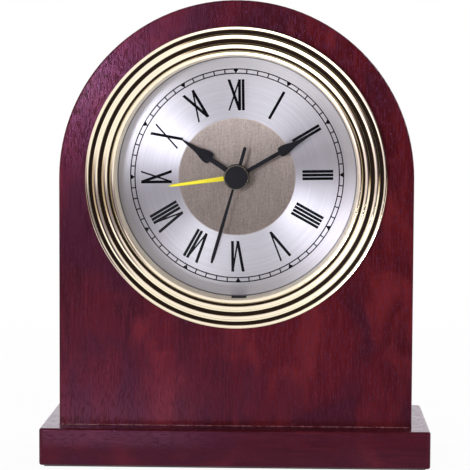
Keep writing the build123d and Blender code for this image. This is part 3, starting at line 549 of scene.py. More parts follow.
@dataclass(frozen=True)
class DialFinish(Finish):
    """Turned silver ring round a warm grey disc that is brushed from top to bottom."""

    centre: Vector
    disc_radius: float
    silver: Colour = screen(214, 214, 220)
    taupe: Colour = screen(167, 156, 147)
    rim: Colour = screen(206, 197, 192)
    # The dark ring round the dial's edge is a painted shadow where the dial meets the wall.
    painted_shadow: Colour = screen(48, 44, 44)
    painted_shadow_start: float = 35.85 * MM
    painted_shadow_end: float = 36.15 * MM
    painted_shadow_share: float = 0.72
    disc_soft: float = 0.05 * MM
    rim_start: float = 0.35 * MM
    rim_end: float = 0.1 * MM
    rim_share: float = 0.6
    ring_density: float = 3600.0
    disc_density: float = 4000.0
    grain_scale: float = 2600.0
    ring_tone: Pair = (0.44, 0.78)
    disc_tone: Pair = (0.90, 0.40)
    grain_span: Pair = (0.32, 0.68)
    grain_tone: float = 0.30
    metallic: Pair = (0.88, 0.84)
    roughness: Pair = (0.28, 0.29)
    highlight_length: float = 0.96

    def make(self, draft: Draft) -> None:
        """Write the ring, the disc with its pale rim, and a dark ring of painted shadow at the edge, where
        the dial meets the wall.

        Args:
            draft: the material to write.
        """
        graph, local, radius_of_disc = draft.graph, draft.placed(self.centre), self.disc_radius
        flat = graph.vector("MULTIPLY", local, ACROSS_AND_UP)
        radius = graph.vector("LENGTH", flat)
        disc = graph.ramp(radius, radius_of_disc - self.disc_soft, radius_of_disc + self.disc_soft, 1.0, 0.0)
        edge = graph.ramp(radius, radius_of_disc - self.rim_start, radius_of_disc - self.rim_end,
                          0.0, self.rim_share)
        turned = draft.lines(local, Run.ROUND, self.ring_density)
        brushed = draft.lines(local, Run.UPRIGHT, self.disc_density)
        grain = graph.noise(local, self.grain_scale, 2.0)
        grain = graph.ramp(grain, *self.grain_span, 0.0, self.grain_tone)
        brushed_tone = graph.math("ADD", graph.line(brushed, *self.disc_tone), grain)
        ring = graph.vector("SCALE", self.silver[:3], graph.line(turned, *self.ring_tone))
        middle = graph.mix(edge, graph.vector("SCALE", self.taupe[:3], brushed_tone), self.rim)
        # Painted shadow: a dark ring round the dial's edge, where it meets the wall.
        painted_shadow = graph.ramp(radius, self.painted_shadow_start, self.painted_shadow_end, 0.0, self.painted_shadow_share)
        along = {0: disc, 4: graph.vector("NORMALIZE", flat), 5: (1.0, 0.0, 0.0)}
        draft.paint({
            "Base Color": graph.mix(painted_shadow, graph.mix(disc, ring, middle), self.painted_shadow),
            "Metallic": graph.ramp(disc, 0.0, 1.0, *self.metallic),
            "Roughness": graph.ramp(disc, 0.0, 1.0, *self.roughness), "Anisotropic": self.highlight_length,
            "Tangent": graph.add("ShaderNodeMix", along, data_type="VECTOR").outputs[1]})


@dataclass(frozen=True)
class PaintedShadeWall(Finish):
    """Champagne wall round the dial, with painted shade that darkens it towards the dial and a dark line of
    painted shadow where it meets the dial.
    """

    front: float
    back: float
    # From pale to deep is painted shade towards the dial; the line colour is a painted shadow where the wall
    # meets the dial.
    pale: Colour = screen(238, 228, 202)
    deep: Colour = screen(226, 218, 204)
    line: Colour = screen(44, 40, 38)
    shadow_line_start: float = 0.75 * MM
    shadow_line_end: float = 0.25 * MM
    shadow_line_roughness: float = 0.4
    metallic: float = 0.25
    shine: float = 0.1

    def make(self, draft: Draft) -> None:
        """Write the wall's painted shade, darker towards the dial, and its dark line of painted shadow.

        Args:
            draft: the material to write.
        """
        graph = draft.graph
        depth = graph.axis(draft.place, "Y")
        # Painted shade: darker towards the dial, then a dark line of painted shadow at the dial.
        tone = graph.mix(graph.ramp(depth, self.front, self.back), self.pale, self.deep)
        dark = graph.ramp(depth, self.back - self.shadow_line_start, self.back - self.shadow_line_end)
        mottle = draft.mottle(graph.mix(dark, tone, self.line), scale=140.0, tone_shift=0.04, roughness=0.42,
                              gloss_shift=0.05)
        draft.paint({
            "Base Color": mottle["Colour"],
            "Roughness": graph.line(dark, self.shadow_line_roughness, mottle["Roughness"]),
            "Metallic": graph.ramp(dark, 0.0, 1.0, self.metallic, 0.0), "Specular IOR Level": self.shine})


@dataclass(frozen=True)
class LacquerBead(Finish):
    """Run of lacquer in a seam, dark like the wood, with pale broken streaks that are a painted highlight."""

    wood: Colour
    pale: Colour
    scale: float = 900.0
    pale_span: Pair = (0.36, 0.58)
    roughness: Pair = (0.18, 0.34)
    relief: float = 0.3
    relief_depth: float = 0.05 * MM

    def make(self, draft: Draft) -> None:
        """Write the broken pale line, a painted highlight.

        Args:
            draft: the material to write.
        """
        graph = draft.graph
        # Painted highlight: pale broken streaks along the seam.
        painted_highlight_breaks = graph.noise(draft.place, self.scale)
        draft.paint({
            "Base Color": graph.mix(graph.ramp(painted_highlight_breaks, *self.pale_span), self.wood, self.pale),
            "Roughness": graph.ramp(painted_highlight_breaks, *NOISE_SPAN, *self.roughness)})
        draft.bump(painted_highlight_breaks, self.relief, self.relief_depth)


@dataclass(frozen=True)
class ClearGlass(Finish):
    """Flat clear lens that lets light through to the dial."""

    index: float = 1.49
    tint: Colour = (0.985, 0.99, 0.99, 1.0)
    haze_scale: float = 60.0
    haze: float = 0.012

    def make(self, draft: Draft) -> None:
        """Write the glass, open to the light that falls on the dial and comes back from it.

        Args:
            draft: the material to write.
        """
        graph, glass = draft.graph, draft.shader.outputs[0]
        haze = graph.noise(draft.place, self.haze_scale)
        draft.paint({
            "Roughness": graph.ramp(haze, *NOISE_SPAN, 0.0, self.haze),
            "Base Color": self.tint, "Transmission Weight": 1.0, "IOR": self.index})
        path = graph.add("ShaderNodeLightPath").outputs
        passing = graph.math("ADD", path["Is Shadow Ray"], path["Is Diffuse Ray"], True)
        passing = graph.math("ADD", passing, path["Is Glossy Ray"], True)
        output = glass.links[0].to_node
        clear = graph.made("ShaderNodeBsdfTransparent")
        graph.wire(output, {"Surface": graph.made("ShaderNodeMixShader", {0: passing, 1: glass, 2: clear})})


@dataclass(frozen=True)
class PressedFelt(Finish):
    """Dense felt of fine tangled fibres."""

    colour: Colour
    pale: Colour
    fibre_scale: float = 2600.0
    fibre_detail: float = 5.0
    fibre_warp: float = 1.5
    pale_span: Pair = (0.42, 0.72)
    patch_scale: float = 150.0
    patch_tone: Pair = (0.8, 1.15)
    roughness: Pair = (0.9, 1.0)
    sheen: float = 0.5
    sheen_roughness: float = 0.6
    relief: float = 0.6
    relief_depth: float = 0.3 * MM

    def make(self, draft: Draft) -> None:
        """Write the tangle and its worn patches.

        Args:
            draft: the material to write.
        """
        graph = draft.graph
        tangle = graph.noise(draft.place, self.fibre_scale, self.fibre_detail, self.fibre_warp)
        patches = graph.ramp(graph.noise(draft.place, self.patch_scale), *NOISE_SPAN, *self.patch_tone)
        tone = graph.mix(graph.ramp(tangle, *self.pale_span), self.colour, self.pale)
        draft.paint({
            "Base Color": graph.vector("SCALE", tone, patches),
            "Roughness": graph.ramp(tangle, *NOISE_SPAN, *self.roughness), "Sheen Weight": self.sheen,
            "Sheen Roughness": self.sheen_roughness})
        draft.bump(tangle, self.relief, self.relief_depth)


@dataclass(frozen=True)
class CellSleeve(Finish):
    """Printed plastic sleeve of a dry cell, with bare metal at both ends."""

    left: float
    right: float
    nub: float
    body: Colour = screen(70, 84, 96)
    band: Colour = screen(206, 206, 200)
    metal: Colour = screen(196, 196, 198)
    band_start_share: float = 0.74
    band_width_share: float = 0.17
    bare_left: float = 0.5 * MM
    bare_right: float = 0.4 * MM
    relief: float = 0.1
    relief_depth: float = 0.01 * MM

    def make(self, draft: Draft) -> None:
        """Write the sleeve, its band and its bare ends.

        Args:
            draft: the material to write.
        """
        graph = draft.graph
        across = graph.axis(draft.place, "X")
        span = self.right - self.left
        start = self.left + self.band_start_share * span
        band = graph.math("MULTIPLY", graph.math("GREATER_THAN", across, start),
                          graph.math("LESS_THAN", across, start + self.band_width_share * span))
        ends = graph.math("ADD", graph.math("LESS_THAN", across, self.left + self.bare_left),
                          graph.math("GREATER_THAN", across, self.right - self.nub - self.bare_right), True)
        tone = graph.mix(ends, graph.mix(band, self.body, self.band), self.metal)
        mottle = draft.mottle(tone, scale=90.0, tone_shift=0.04, roughness=0.30, gloss_shift=0.05)
        draft.paint({"Base Color": mottle["Colour"], "Roughness": mottle["Roughness"], "Metallic": ends})
        draft.bump(mottle["Height"], self.relief, self.relief_depth)


def new_piece(
        name: str, mesh: Mesh, material: Material | None, body: str = "case") -> bpy.types.Object:
    """Put a finished mesh in the scene as a piece.

    Args:
        name: name of the piece.
        mesh: its mesh, in place.
        material: its finish, or None if the mesh has one.
        body: the body that it rides on.
    Returns:
        The new object.
    """
    piece = bpy.data.objects.new(name, mesh)
    bpy.context.scene.collection.objects.link(piece)
    if material is not None:
        mesh.materials.clear()
        mesh.materials.append(material)
    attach(piece, body)
    log.info("piece %s: %d faces, rides on %s", name, len(mesh.polygons), body)
    return piece


def dress(material: Material, *nodes: str) -> None:
    """Give a finish to solids of the frame.

    Args:
        material: the finish.
        nodes: names of the solids' nodes.
    """
    for name in nodes:
        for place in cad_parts[name].material_slots:
            place.material = material
        log.info("solid %s: %s", name, material.name)


def closed_mesh(name: str, shape: bmesh.types.BMesh) -> Mesh:
    """Turn a closed shape into a mesh with its faces outwards.

    Args:
        name: name of the mesh.
        shape: the shape, which is used up.
    Returns:
        The mesh.
    """
    bmesh.ops.recalc_face_normals(shape, faces=shape.faces)
    mesh = bpy.data.meshes.new(name)
    shape.to_mesh(mesh)
    shape.free()
    return mesh


class NodeShape:
    """A shape that Geometry Nodes make, turned into a plain mesh."""

    def __init__(self, name: str, inputs: dict[str, Any]) -> None:
        """Start the tree and its named inputs.

        Args:
            name: name of the tree.
            inputs: the value of each input; a material, a vector or a number.
        """
        self.name = name
        self.values = inputs
        tree = bpy.data.node_groups.new(name, "GeometryNodeTree")
        tree.interface.new_socket(name="Geometry", in_out="OUTPUT", socket_type="NodeSocketGeometry")
        for label, value in inputs.items():
            kind = "NodeSocketMaterial" if isinstance(value, Material) else "NodeSocketFloat"
            kind = "NodeSocketVector" if isinstance(value, tuple) else kind
            tree.interface.new_socket(name=label, in_out="INPUT", socket_type=kind)
        self.graph = Graph(tree)
        self.given = self.graph.add("NodeGroupInput").outputs

    def tube(self, path: Socket, profile: Socket, girth: Any = 1.0) -> Socket:
        """Return a profile swept along a path."""
        inputs = {"Curve": path, "Profile Curve": profile, "Scale": girth}
        return self.graph.made("GeometryNodeCurveToMesh", inputs)

    def ring(self, steps: int, radius: Any) -> Socket:
        """Return a circle."""
        return self.graph.made("GeometryNodeCurvePrimitiveCircle", {"Resolution": steps, "Radius": radius})

    def oblong(self, width: Any, height: Any) -> Socket:
        """Return a rectangle."""
        return self.graph.made("GeometryNodeCurvePrimitiveQuadrilateral", {"Width": width, "Height": height})

    def close(self, parts: list[Socket], turn: Triple, centre: Any, material: Any) -> Mesh:
        """Join the parts, place them and make a plain mesh of them.

        Args:
            parts: geometry sockets to join.
            turn: rotation of the joined parts, in radians.
            centre: where their origin goes.
            material: the finish.
        Returns:
            The mesh.
        """
        graph = self.graph
        joined = graph.add("GeometryNodeJoinGeometry")
        for part in parts:
            graph.wire(joined, {0: part})
        moved = graph.made("GeometryNodeTransform", {
            "Geometry": joined.outputs[0], "Rotation": turn, "Translation": centre})
        real = graph.made("GeometryNodeRealizeInstances", {0: moved})
        painted = graph.made("GeometryNodeSetMaterial", {"Geometry": real, "Material": material})
        graph.add("NodeGroupOutput", {0: painted})
        holder = bpy.data.objects.new(self.name + "_holder", bpy.data.meshes.new(self.name))
        bpy.context.scene.collection.objects.link(holder)
        modifier = holder.modifiers.new(self.name, "NODES")
        modifier.node_group = graph.tree
        for item in graph.tree.interface.items_tree:
            if item.in_out == "INPUT":
                modifier[item.identifier] = self.values[item.name]
        depsgraph = bpy.context.evaluated_depsgraph_get()
        mesh = bpy.data.meshes.new_from_object(holder.evaluated_get(depsgraph), depsgraph=depsgraph)
        holder.modifiers.remove(modifier)
        bpy.data.objects.remove(holder)
        return mesh


@dataclass
class WoodStand:
    """Arched case, base board, the lacquer bead at their seam, and the felt underneath."""

    bench: Bench
    bead_radius: float = 0.17 * MM
    bead_swing: float = 0.16 * MM
    bead_points: int = 900
    bead_sides: int = 12
    bead_wave: float = 260.0
    felt_bevel: float = 0.15 * MM
    felt_cells: tuple[int, int] = (114, 47)
    felt_ripple: float = 0.03 * MM
    felt_wave: Pair = (2.4, 1.9)
    upright: Lacquer = Lacquer("mahogany_upright", Run.UPRIGHT, screen(43, 8, 9), screen(67, 12, 13),
                               screen(92, 26, 26), screen(46, 12, 19))
    across: Lacquer = Lacquer("mahogany_across", Run.ACROSS, screen(46, 10, 14), screen(62, 14, 19),
                              screen(78, 23, 28), screen(50, 14, 22))
    screw: Metal = Metal("zinc_screw", screen(176, 176, 172), 0.34)
    # The seam bead's pale colour is a painted highlight.
    bead: LacquerBead = LacquerBead("seam_lacquer_painted_highlight", screen(76, 22, 28), screen(122, 76, 82))
    cloth: PressedFelt = PressedFelt("pressed_felt", screen(34, 42, 36), screen(72, 84, 74))

    def build(self) -> None:
        """Dress the wood and add the seam bead and the felt."""
        dress(self.upright.material(self.bench), "wood_case")
        dress(self.across.material(self.bench), "wood_base")
        dress(self.screw.material(self.bench), "base_screws")
        new_piece("foot_seam", self.seam(self.bead.material(self.bench)), None)
        self.felt()

    def seam(self, material: Material) -> Mesh:
        """Make the uneven bead of lacquer where the case stands on the base.

        Args:
            material: the finish.
        Returns:
            The mesh.
        """
        low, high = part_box("wood_case")
        size = high - low
        middle = (low + high) / 2
        shape = NodeShape("Seam bead", {
            "Width": size.x, "Depth": size.y, "Bead": self.bead_radius, "Swing": self.bead_swing,
            "Place": (middle.x, middle.y, low.z), "Finish": material})
        graph, given = shape.graph, shape.given
        path = graph.made("GeometryNodeResampleCurve", {
            "Curve": shape.oblong(given["Width"], given["Depth"]), "Count": self.bead_points})
        wave = graph.noise(graph.made("GeometryNodeInputPosition"), self.bead_wave)
        swing = graph.math("MULTIPLY", graph.math("SUBTRACT", wave, NOISE_MIDDLE), given["Swing"])
        girth = graph.line(swing, 2.0, given["Bead"])
        tube = shape.tube(path, shape.ring(self.bead_sides, 1.0), girth)
        smooth = graph.made("GeometryNodeSetShadeSmooth", {0: tube})
        return shape.close([smooth], (0.0, 0.0, 0.0), given["Place"], given["Finish"])

    def felt(self) -> None:
        """Lay a felt sheet with soft edges where the plain sheet is."""
        low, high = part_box("felt_sheet")
        columns, rows = self.felt_cells
        shape = bmesh.new()
        under: dict[tuple[int, int], bmesh.types.BMVert] = {}
        over: dict[tuple[int, int], bmesh.types.BMVert] = {}
        for row in range(rows + 1):
            for column in range(columns + 1):
                x = low.x + (high.x - low.x) * column / columns
                y = low.y + (high.y - low.y) * row / rows
                inner = 0 < row < rows and 0 < column < columns
                wave = math.sin(column * self.felt_wave[0]) * math.sin(row * self.felt_wave[1]) + 1.0
                lift = self.felt_ripple * wave if inner else self.felt_bevel
                drop = 0.0 if inner else self.felt_bevel
                under[row, column] = shape.verts.new((x, y, low.z + lift))
                over[row, column] = shape.verts.new((x, y, high.z - drop))
        for row in range(rows):
            for column in range(columns):
                cell = [(row, column), (row, column + 1), (row + 1, column + 1), (row + 1, column)]
                shape.faces.new([over[spot] for spot in cell])
                shape.faces.new([under[spot] for spot in reversed(cell)])
        edge = [(0, c) for c in range(columns)] + [(r, columns) for r in range(rows)]
        edge += [(rows, c) for c in range(columns, 0, -1)] + [(r, 0) for r in range(rows, 0, -1)]
        for here, there in zip(edge, edge[1:] + edge[:1]):
            shape.faces.new([under[here], under[there], over[there], over[here]])
        mesh = closed_mesh("felt_pad", shape)
        mesh.shade_smooth()
        pad = new_piece("felt_pad", mesh, self.cloth.material(self.bench))
        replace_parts(pad, "felt_sheet")


@dataclass
class DialPrint:
    """Black Roman numerals and the minute track on the dial."""

    bench: Bench
    centre: Vector
    track_outer: float = 32.31 * MM
    track_inner: float = 31.00 * MM
    line_width: float = 0.33 * MM
    tick_width: float = 0.36 * MM
    mark_width: float = 1.75 * MM
    circle_steps: int = 360
    minutes: int = 60
    ink_thickness: float = 0.03 * MM
    ink_step: float = 0.04
    numeral_foot: float = 19.8 * MM
    numeral_height: float = 9.35 * MM
    thick: float = 0.86 * MM
    thin: float = 0.50 * MM
    bar_pitch: float = 1.09 * MM
    letter_width: float = 3.2 * MM
    print_turn: float = math.radians(-0.9)
    numerals: tuple[str, ...] = ("XII", "I", "II", "III", "IIII", "V", "VI", "VII", "VIII", "IX", "X", "XI")
    ink: Skin = Skin("print_ink", screen(6, 6, 12), 0.6, scale=400.0, tone_shift=0.08, skin_depth=0.002 * MM,
                     shine=0.05)

    def build(self) -> None:
        """Add both prints."""
        ink = self.ink.material(self.bench)
        new_piece("dial_numerals", self.numeral_mesh(), ink)
        new_piece("minute_track", self.track_mesh(ink), None)

    def strokes(self, numeral: str) -> list[Triple]:
        """Lay out a numeral.

        Args:
            numeral: its letters, I, V and X.
        Returns:
            Strokes as foot place, head place and width, centred across.
        """
        strokes: list[Triple] = []
        at = 0.0
        for index, letter in enumerate(numeral):
            if letter == "I":
                at += self.bar_pitch if numeral[:index].endswith("I") else 0.0
                strokes.append((at, at, self.thick))
                continue
            end = at + self.letter_width
            feet = ((at + end) / 2, (at + end) / 2) if letter == "V" else (end, at)
            strokes += [(feet[0], at, self.thick), (feet[1], end, self.thin)]
            at = end
        return [(foot - at / 2, head - at / 2, width) for foot, head, width in strokes]

    def numeral_mesh(self) -> Mesh:
        """Make the twelve numerals, their heads outwards, as thin prisms of ink.

        Returns:
            The mesh.
        """
        shape = bmesh.new()
        for hour, numeral in enumerate(self.numerals):
            turn = 2 * math.pi * hour / len(self.numerals) + self.print_turn
            for order, (foot, head, width) in enumerate(self.strokes(numeral)):
                half = width / 2 * math.hypot(1.0, (head - foot) / self.numeral_height)
                flat = [(foot - half, 0.0), (foot + half, 0.0), (head + half, 1.0), (head - half, 1.0)]
                rings = []
                for depth in (0.0, self.ink_thickness * (1.0 - self.ink_step * order)):
                    ring = []
                    for across, share in flat:
                        out = self.numeral_foot + share * self.numeral_height
                        x = across * math.cos(turn) + out * math.sin(turn)
                        z = out * math.cos(turn) - across * math.sin(turn)
                        ring.append(shape.verts.new(self.centre + Vector((x, -depth, z))))
                    rings.append(ring)
                back, face = rings
                shape.faces.new(face)
                shape.faces.new(list(reversed(back)))
                for a, b in zip(range(4), (1, 2, 3, 0)):
                    shape.faces.new([back[a], back[b], face[b], face[a]])
        return closed_mesh("dial_numerals", shape)

    def track_mesh(self, ink: Material) -> Mesh:
        """Make the minute track: two circles, sixty ticks and a mark at each hour.

        Args:
            ink: the finish.
        Returns:
            The mesh.
        """
        shape = NodeShape("Minute track", {
            "Outer Radius": self.track_outer, "Inner Radius": self.track_inner, "Line Width": self.line_width,
            "Tick Width": self.tick_width, "Mark Width": self.mark_width, "Ink Thickness": self.ink_thickness,
            "Centre": tuple(self.centre - Vector((0.0, self.ink_thickness / 2, 0.0))), "Ink": ink})
        graph, given = shape.graph, shape.given
        outer, inner, thickness = given["Outer Radius"], given["Inner Radius"], given["Ink Thickness"]
        band = graph.math("SUBTRACT", outer, inner)
        middle = graph.math("DIVIDE", graph.math("ADD", outer, inner), 2.0)
        parts = []
        for radius in (outer, inner):
            circle = shape.ring(self.circle_steps, radius)
            path = graph.made("GeometryNodeSetCurveNormal", {"Curve": circle}, mode="Z_UP")
            parts.append(shape.tube(path, shape.oblong(given["Line Width"], thickness)))
        size = graph.joined(band, given["Tick Width"], thickness)
        tick = graph.made("GeometryNodeMeshCube", {"Size": size})
        # A three-sided prism of radius 1 is 1.5 long and the root of 3 wide. It points inwards.
        prism = graph.made("GeometryNodeMeshCylinder", {"Vertices": 3, "Radius": 1.0, "Depth": 1.0})
        size = graph.joined(graph.math("DIVIDE", band, 1.5),
                            graph.math("DIVIDE", given["Mark Width"], math.sqrt(3.0)), thickness)
        mark = graph.made("GeometryNodeTransform", {"Geometry": prism, "Rotation": (0.0, 0.0, math.pi)})
        mark = graph.made("GeometryNodeTransform", {
            "Geometry": mark, "Scale": size, "Translation": graph.joined(graph.math("DIVIDE", band, -3.0))})
        for count, radius, stamp in ((self.minutes, middle, tick), (len(self.numerals), outer, mark)):
            ring = graph.made("GeometryNodeMeshCircle", {"Vertices": count, "Radius": radius})
            step = graph.math("MULTIPLY", graph.made("GeometryNodeInputIndex"), 2 * math.pi / count)
            parts.append(graph.made("GeometryNodeInstanceOnPoints", {
                "Points": ring, "Instance": stamp, "Rotation": graph.joined(z=step)}))
        return shape.close(parts, (math.pi / 2, self.print_turn, 0.0), given["Centre"], given["Ink"])


@dataclass
class Bezel:
    """Gold ring of four turned beads with dark grooves between them."""

    bench: Bench
    axis: Vector
    face: float
    outer: float = 44.93 * MM
    lip: float = 36.65 * MM
    seat: float = 37.4 * MM
    skirt: float = 38.5 * MM
    seat_depth: float = 0.3 * MM
    skirt_depth: float = 4.5 * MM
    groove_outer: float = -1.85 * MM
    groove_inner: float = -0.60 * MM
    groove_dish: float = 0.12 * MM
    # Each bead's outside, ridge and inside radius, and the depth of its ridge.
    beads: tuple[tuple[float, float, float, float], ...] = (
        (44.93 * MM, 44.80 * MM, 44.1 * MM, -2.9 * MM), (42.90 * MM, 42.42 * MM, 41.40 * MM, -2.67 * MM),
        (40.14 * MM, 39.58 * MM, 38.55 * MM, -2.13 * MM), (37.84 * MM, 37.46 * MM, 36.65 * MM, -1.35 * MM))
    flank: Pair = (math.radians(31), math.radians(25))
    crest: Pair = (math.radians(-8), math.radians(-17))
    sharp_angle: float = math.radians(20)
    arc_steps: int = 12
    groove_steps: int = 6
    turn_steps: int = 320

    def floor(self, radius: float) -> float:
        """Return how deep a groove at a radius goes, behind the case's face."""
        share = (radius - self.lip) / (self.outer - self.lip)
        return self.groove_inner + share * (self.groove_outer - self.groove_inner)

    def slope(self, start: float, end: float, tilts: Pair, depth: float) -> list[Pair]:
        """Return a slightly rounded slope.

        Args:
            start: radius where it starts.
            end: radius where it ends.
            tilts: its outward lean at both ends.
            depth: depth at the start.
        Returns:
            Points as radius and depth, from start to end.
        """
        points = [(start, depth)]
        width = (start - end) / self.arc_steps
        for step in range(self.arc_steps):
            tilt = tilts[0] + (tilts[1] - tilts[0]) * (step + 0.5) / self.arc_steps
            depth -= width * math.tan(tilt)
            points.append((start - width * (step + 1), depth))
        return points

    def bead(self, outside: float, ridge: float, inside: float, top: float) -> list[Pair]:
        """Return one bead's section, a short steep flank and a long gentle crest.

        Args:
            outside: radius of the flank's foot.
            ridge: radius where flank and crest meet.
            inside: radius where the crest ends.
            top: depth of the ridge.
        Returns:
            Points as radius and depth, from outside to inside.
        """
        flank = self.slope(outside, ridge, self.flank, 0.0)
        rise = top - flank[-1][1]
        crest = self.slope(ridge, inside, self.crest, top)
        return [(radius, depth + rise) for radius, depth in flank] + crest[1:]

    def profile(self) -> list[Pair]:
        """Lay out the section, from the rim's back over the beads to the skirt.

        Returns:
            Points as radius and depth.
        """
        points = [(self.outer, 0.0)]
        for index, bead in enumerate(self.beads):
            points += self.bead(*bead)
            if index + 1 < len(self.beads):
                inside, width = bead[2], bead[2] - self.beads[index + 1][0]
                for step in range(self.groove_steps + 1):
                    share = step / self.groove_steps
                    radius = inside - width * share
                    points.append((radius, self.floor(radius) + self.groove_dish * math.sin(math.pi * share)))
        points += [(self.lip, self.seat_depth), (self.seat, self.seat_depth), (self.seat, self.skirt_depth),
                   (self.skirt, self.skirt_depth), (self.skirt, 0.0)]
        return points

    def build(self) -> None:
        """Turn the section round the axis and put it in the solid's place."""
        shape = bmesh.new()
        rings = []
        for step in range(self.turn_steps):
            angle = 2 * math.pi * step / self.turn_steps
            across, up = math.sin(angle), math.cos(angle)
            rings.append([
                shape.verts.new((self.axis.x + radius * across, self.face + depth, self.axis.z + radius * up))
                for radius, depth in self.profile()])
        for here, there in zip(rings, rings[1:] + rings[:1]):
            for a in range(len(here)):
                b = (a + 1) % len(here)
                shape.faces.new([here[a], here[b], there[b], there[a]])
        mesh = closed_mesh("bezel_ring", shape)
        mesh.shade_smooth()
        mesh.set_sharp_from_angle(angle=self.sharp_angle)
        grooves = tuple((inner[0], outer[2]) for outer, inner in zip(self.beads, self.beads[1:]))
        gold = BeadedGold("gold_plate", self.axis, grooves).material(self.bench)
        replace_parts(new_piece("bezel_ring", mesh, gold), "bezel")


@dataclass
class Insert:
    """Round clock insert seen from the front: bezel, lens, spacer ring, dial and hands."""

    bench: Bench
    disc_radius: float = 17.8 * MM
    print_lift: float = 0.27 * MM
    boss_radius: float = 3.60 * MM
    boss_bead: float = 0.055 * MM
    boss_steps: int = 96
    bead_sides: int = 12
    black: Skin = Skin("hand_black", screen(5, 5, 13), 0.36, scale=300.0, tone_shift=0.12,
                       skin_depth=0.004 * MM, shine=0.15)
    yellow: Skin = Skin("hand_yellow", screen(222, 210, 40), 0.42, scale=300.0, tone_shift=0.06,
                        skin_depth=0.004 * MM, shine=0.25)
    cup: Skin = Skin("housing_black", screen(16, 16, 18), 0.70, shine=0.1)
    rubber: Skin = Skin("ring_rubber", screen(30, 30, 30), 0.72, scale=220.0, tone_shift=0.08,
                        skin_depth=0.04 * MM)
    edge_colour: Colour = screen(196, 188, 162)

    def build(self) -> None:
        """Dress the insert's solids and print the dial."""
        low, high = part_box("bezel")
        axis = Vector(((low.x + high.x) / 2, low.y, (low.z + high.z) / 2))
        dial_face = Vector((axis.x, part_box("dial")[0].y, axis.z))
        wall_low, wall_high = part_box("spacer_ring")
        Bezel(self.bench, axis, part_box("wood_case")[0].y).build()
        DialPrint(self.bench, dial_face + Vector((0.0, 0.0, self.print_lift))).build()
        self.boss_rim(axis)
        for finish, nodes in (
                (ClearGlass("lens_glass"), ("lens",)),
                (PaintedShadeWall("champagne_wall_painted_shade", wall_low.y, wall_high.y), ("spacer_ring",)),
                (DialFinish("spun_dial", dial_face, self.disc_radius), ("dial",)),
                (self.black, ("hour_hand", "minute_hand", "second_hand")), (self.yellow, ("alarm_hand",)),
                (self.cup, ("insert_housing",)), (self.rubber, ("retaining_ring",))):
            dress(finish.material(self.bench), *nodes)

    def boss_rim(self, axis: Vector) -> None:
        """Add the bright turned edge of the second hand's boss.

        Args:
            axis: a point on the hands' axis.
        """
        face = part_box("second_hand")[0].y
        brass = Metal("boss_edge", self.edge_colour, 0.20, Run.ROUND, density=3000.0, line_depth=0.002 * MM,
                      tone_shift=0.03, centre=axis).material(self.bench)
        shape = NodeShape("Boss rim", {
            "Radius": self.boss_radius, "Bead": self.boss_bead,
            "Centre": (axis.x, face + self.boss_bead / 2, axis.z), "Finish": brass})
        given = shape.given
        path = shape.ring(self.boss_steps, given["Radius"])
        tube = shape.tube(path, shape.ring(self.bead_sides, given["Bead"]))
        smooth = shape.graph.made("GeometryNodeSetShadeSmooth", {0: tube})
        mesh = shape.close([smooth], (math.pi / 2, 0.0, 0.0), given["Centre"], given["Finish"])
        new_piece("boss_rim", mesh, None, "seconds")


@dataclass
class Movement:
    """Alarm movement behind the dial: its case, controls, cell, motor and wheels."""

    bench: Bench
    nub_length: float = 1.2 * MM
    finishes: tuple[tuple[Finish, tuple[str, ...]], ...] = (
        (Skin("movement_black", screen(26, 26, 28), 0.50, scale=240.0, tone_shift=0.08, skin_depth=0.03 * MM),
         ("movement_front_shell", "movement_back_cover")),
        (Skin("knob_white", screen(226, 226, 222), 0.36, scale=180.0, tone_shift=0.03),
         ("time_knob", "alarm_switch", "coil_bobbin")),
        (Skin("knob_black", screen(24, 24, 26), 0.40, scale=180.0, tone_shift=0.08), ("alarm_knob",)),
        (Metal("bright_screw", screen(200, 200, 202), 0.26),
         ("cover_screws", "ear_screws", "quartz_crystal")),
        (Metal("spring_steel", screen(186, 188, 190), 0.30, Run.ACROSS),
         ("positive_contact", "negative_contact", "stator", "coil_core")),
        (Skin("wheel_ivory", screen(232, 226, 206), 0.42, scale=260.0, tone_shift=0.04),
         ("second_wheel", "third_wheel", "centre_wheel", "intermediate_wheel", "minute_work_wheel",
          "hour_wheel", "alarm_wheel", "alarm_setting_wheel")),
        (Metal("turned_brass", screen(222, 190, 120), 0.28), ("minute_pipe", "buzzer")),
        (Metal("sintered_magnet", screen(92, 92, 96), 0.50, density=1200.0, line_depth=0.02 * MM,
               tone_shift=0.12), ("rotor",)),
        (Metal("enamelled_copper", screen(186, 104, 66), 0.32, density=4500.0, line_depth=0.04 * MM),
         ("coil_winding",)),
        (Skin("board_green", screen(28, 92, 58), 0.35, scale=300.0, tone_shift=0.08, skin_depth=0.02 * MM,
              coat=0.4), ("circuit_board",)),
        (Skin("chip_epoxy", screen(16, 16, 17), 0.22, scale=200.0, tone_shift=0.08, skin_depth=0.01 * MM,
              coat=0.5), ("chip",)))

    def build(self) -> None:
        """Dress the movement's solids."""
        for finish, nodes in self.finishes:
            dress(finish.material(self.bench), *nodes)
        low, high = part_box("battery")
        dress(CellSleeve("cell_sleeve", low.x, high.x, self.nub_length).material(self.bench), "battery")


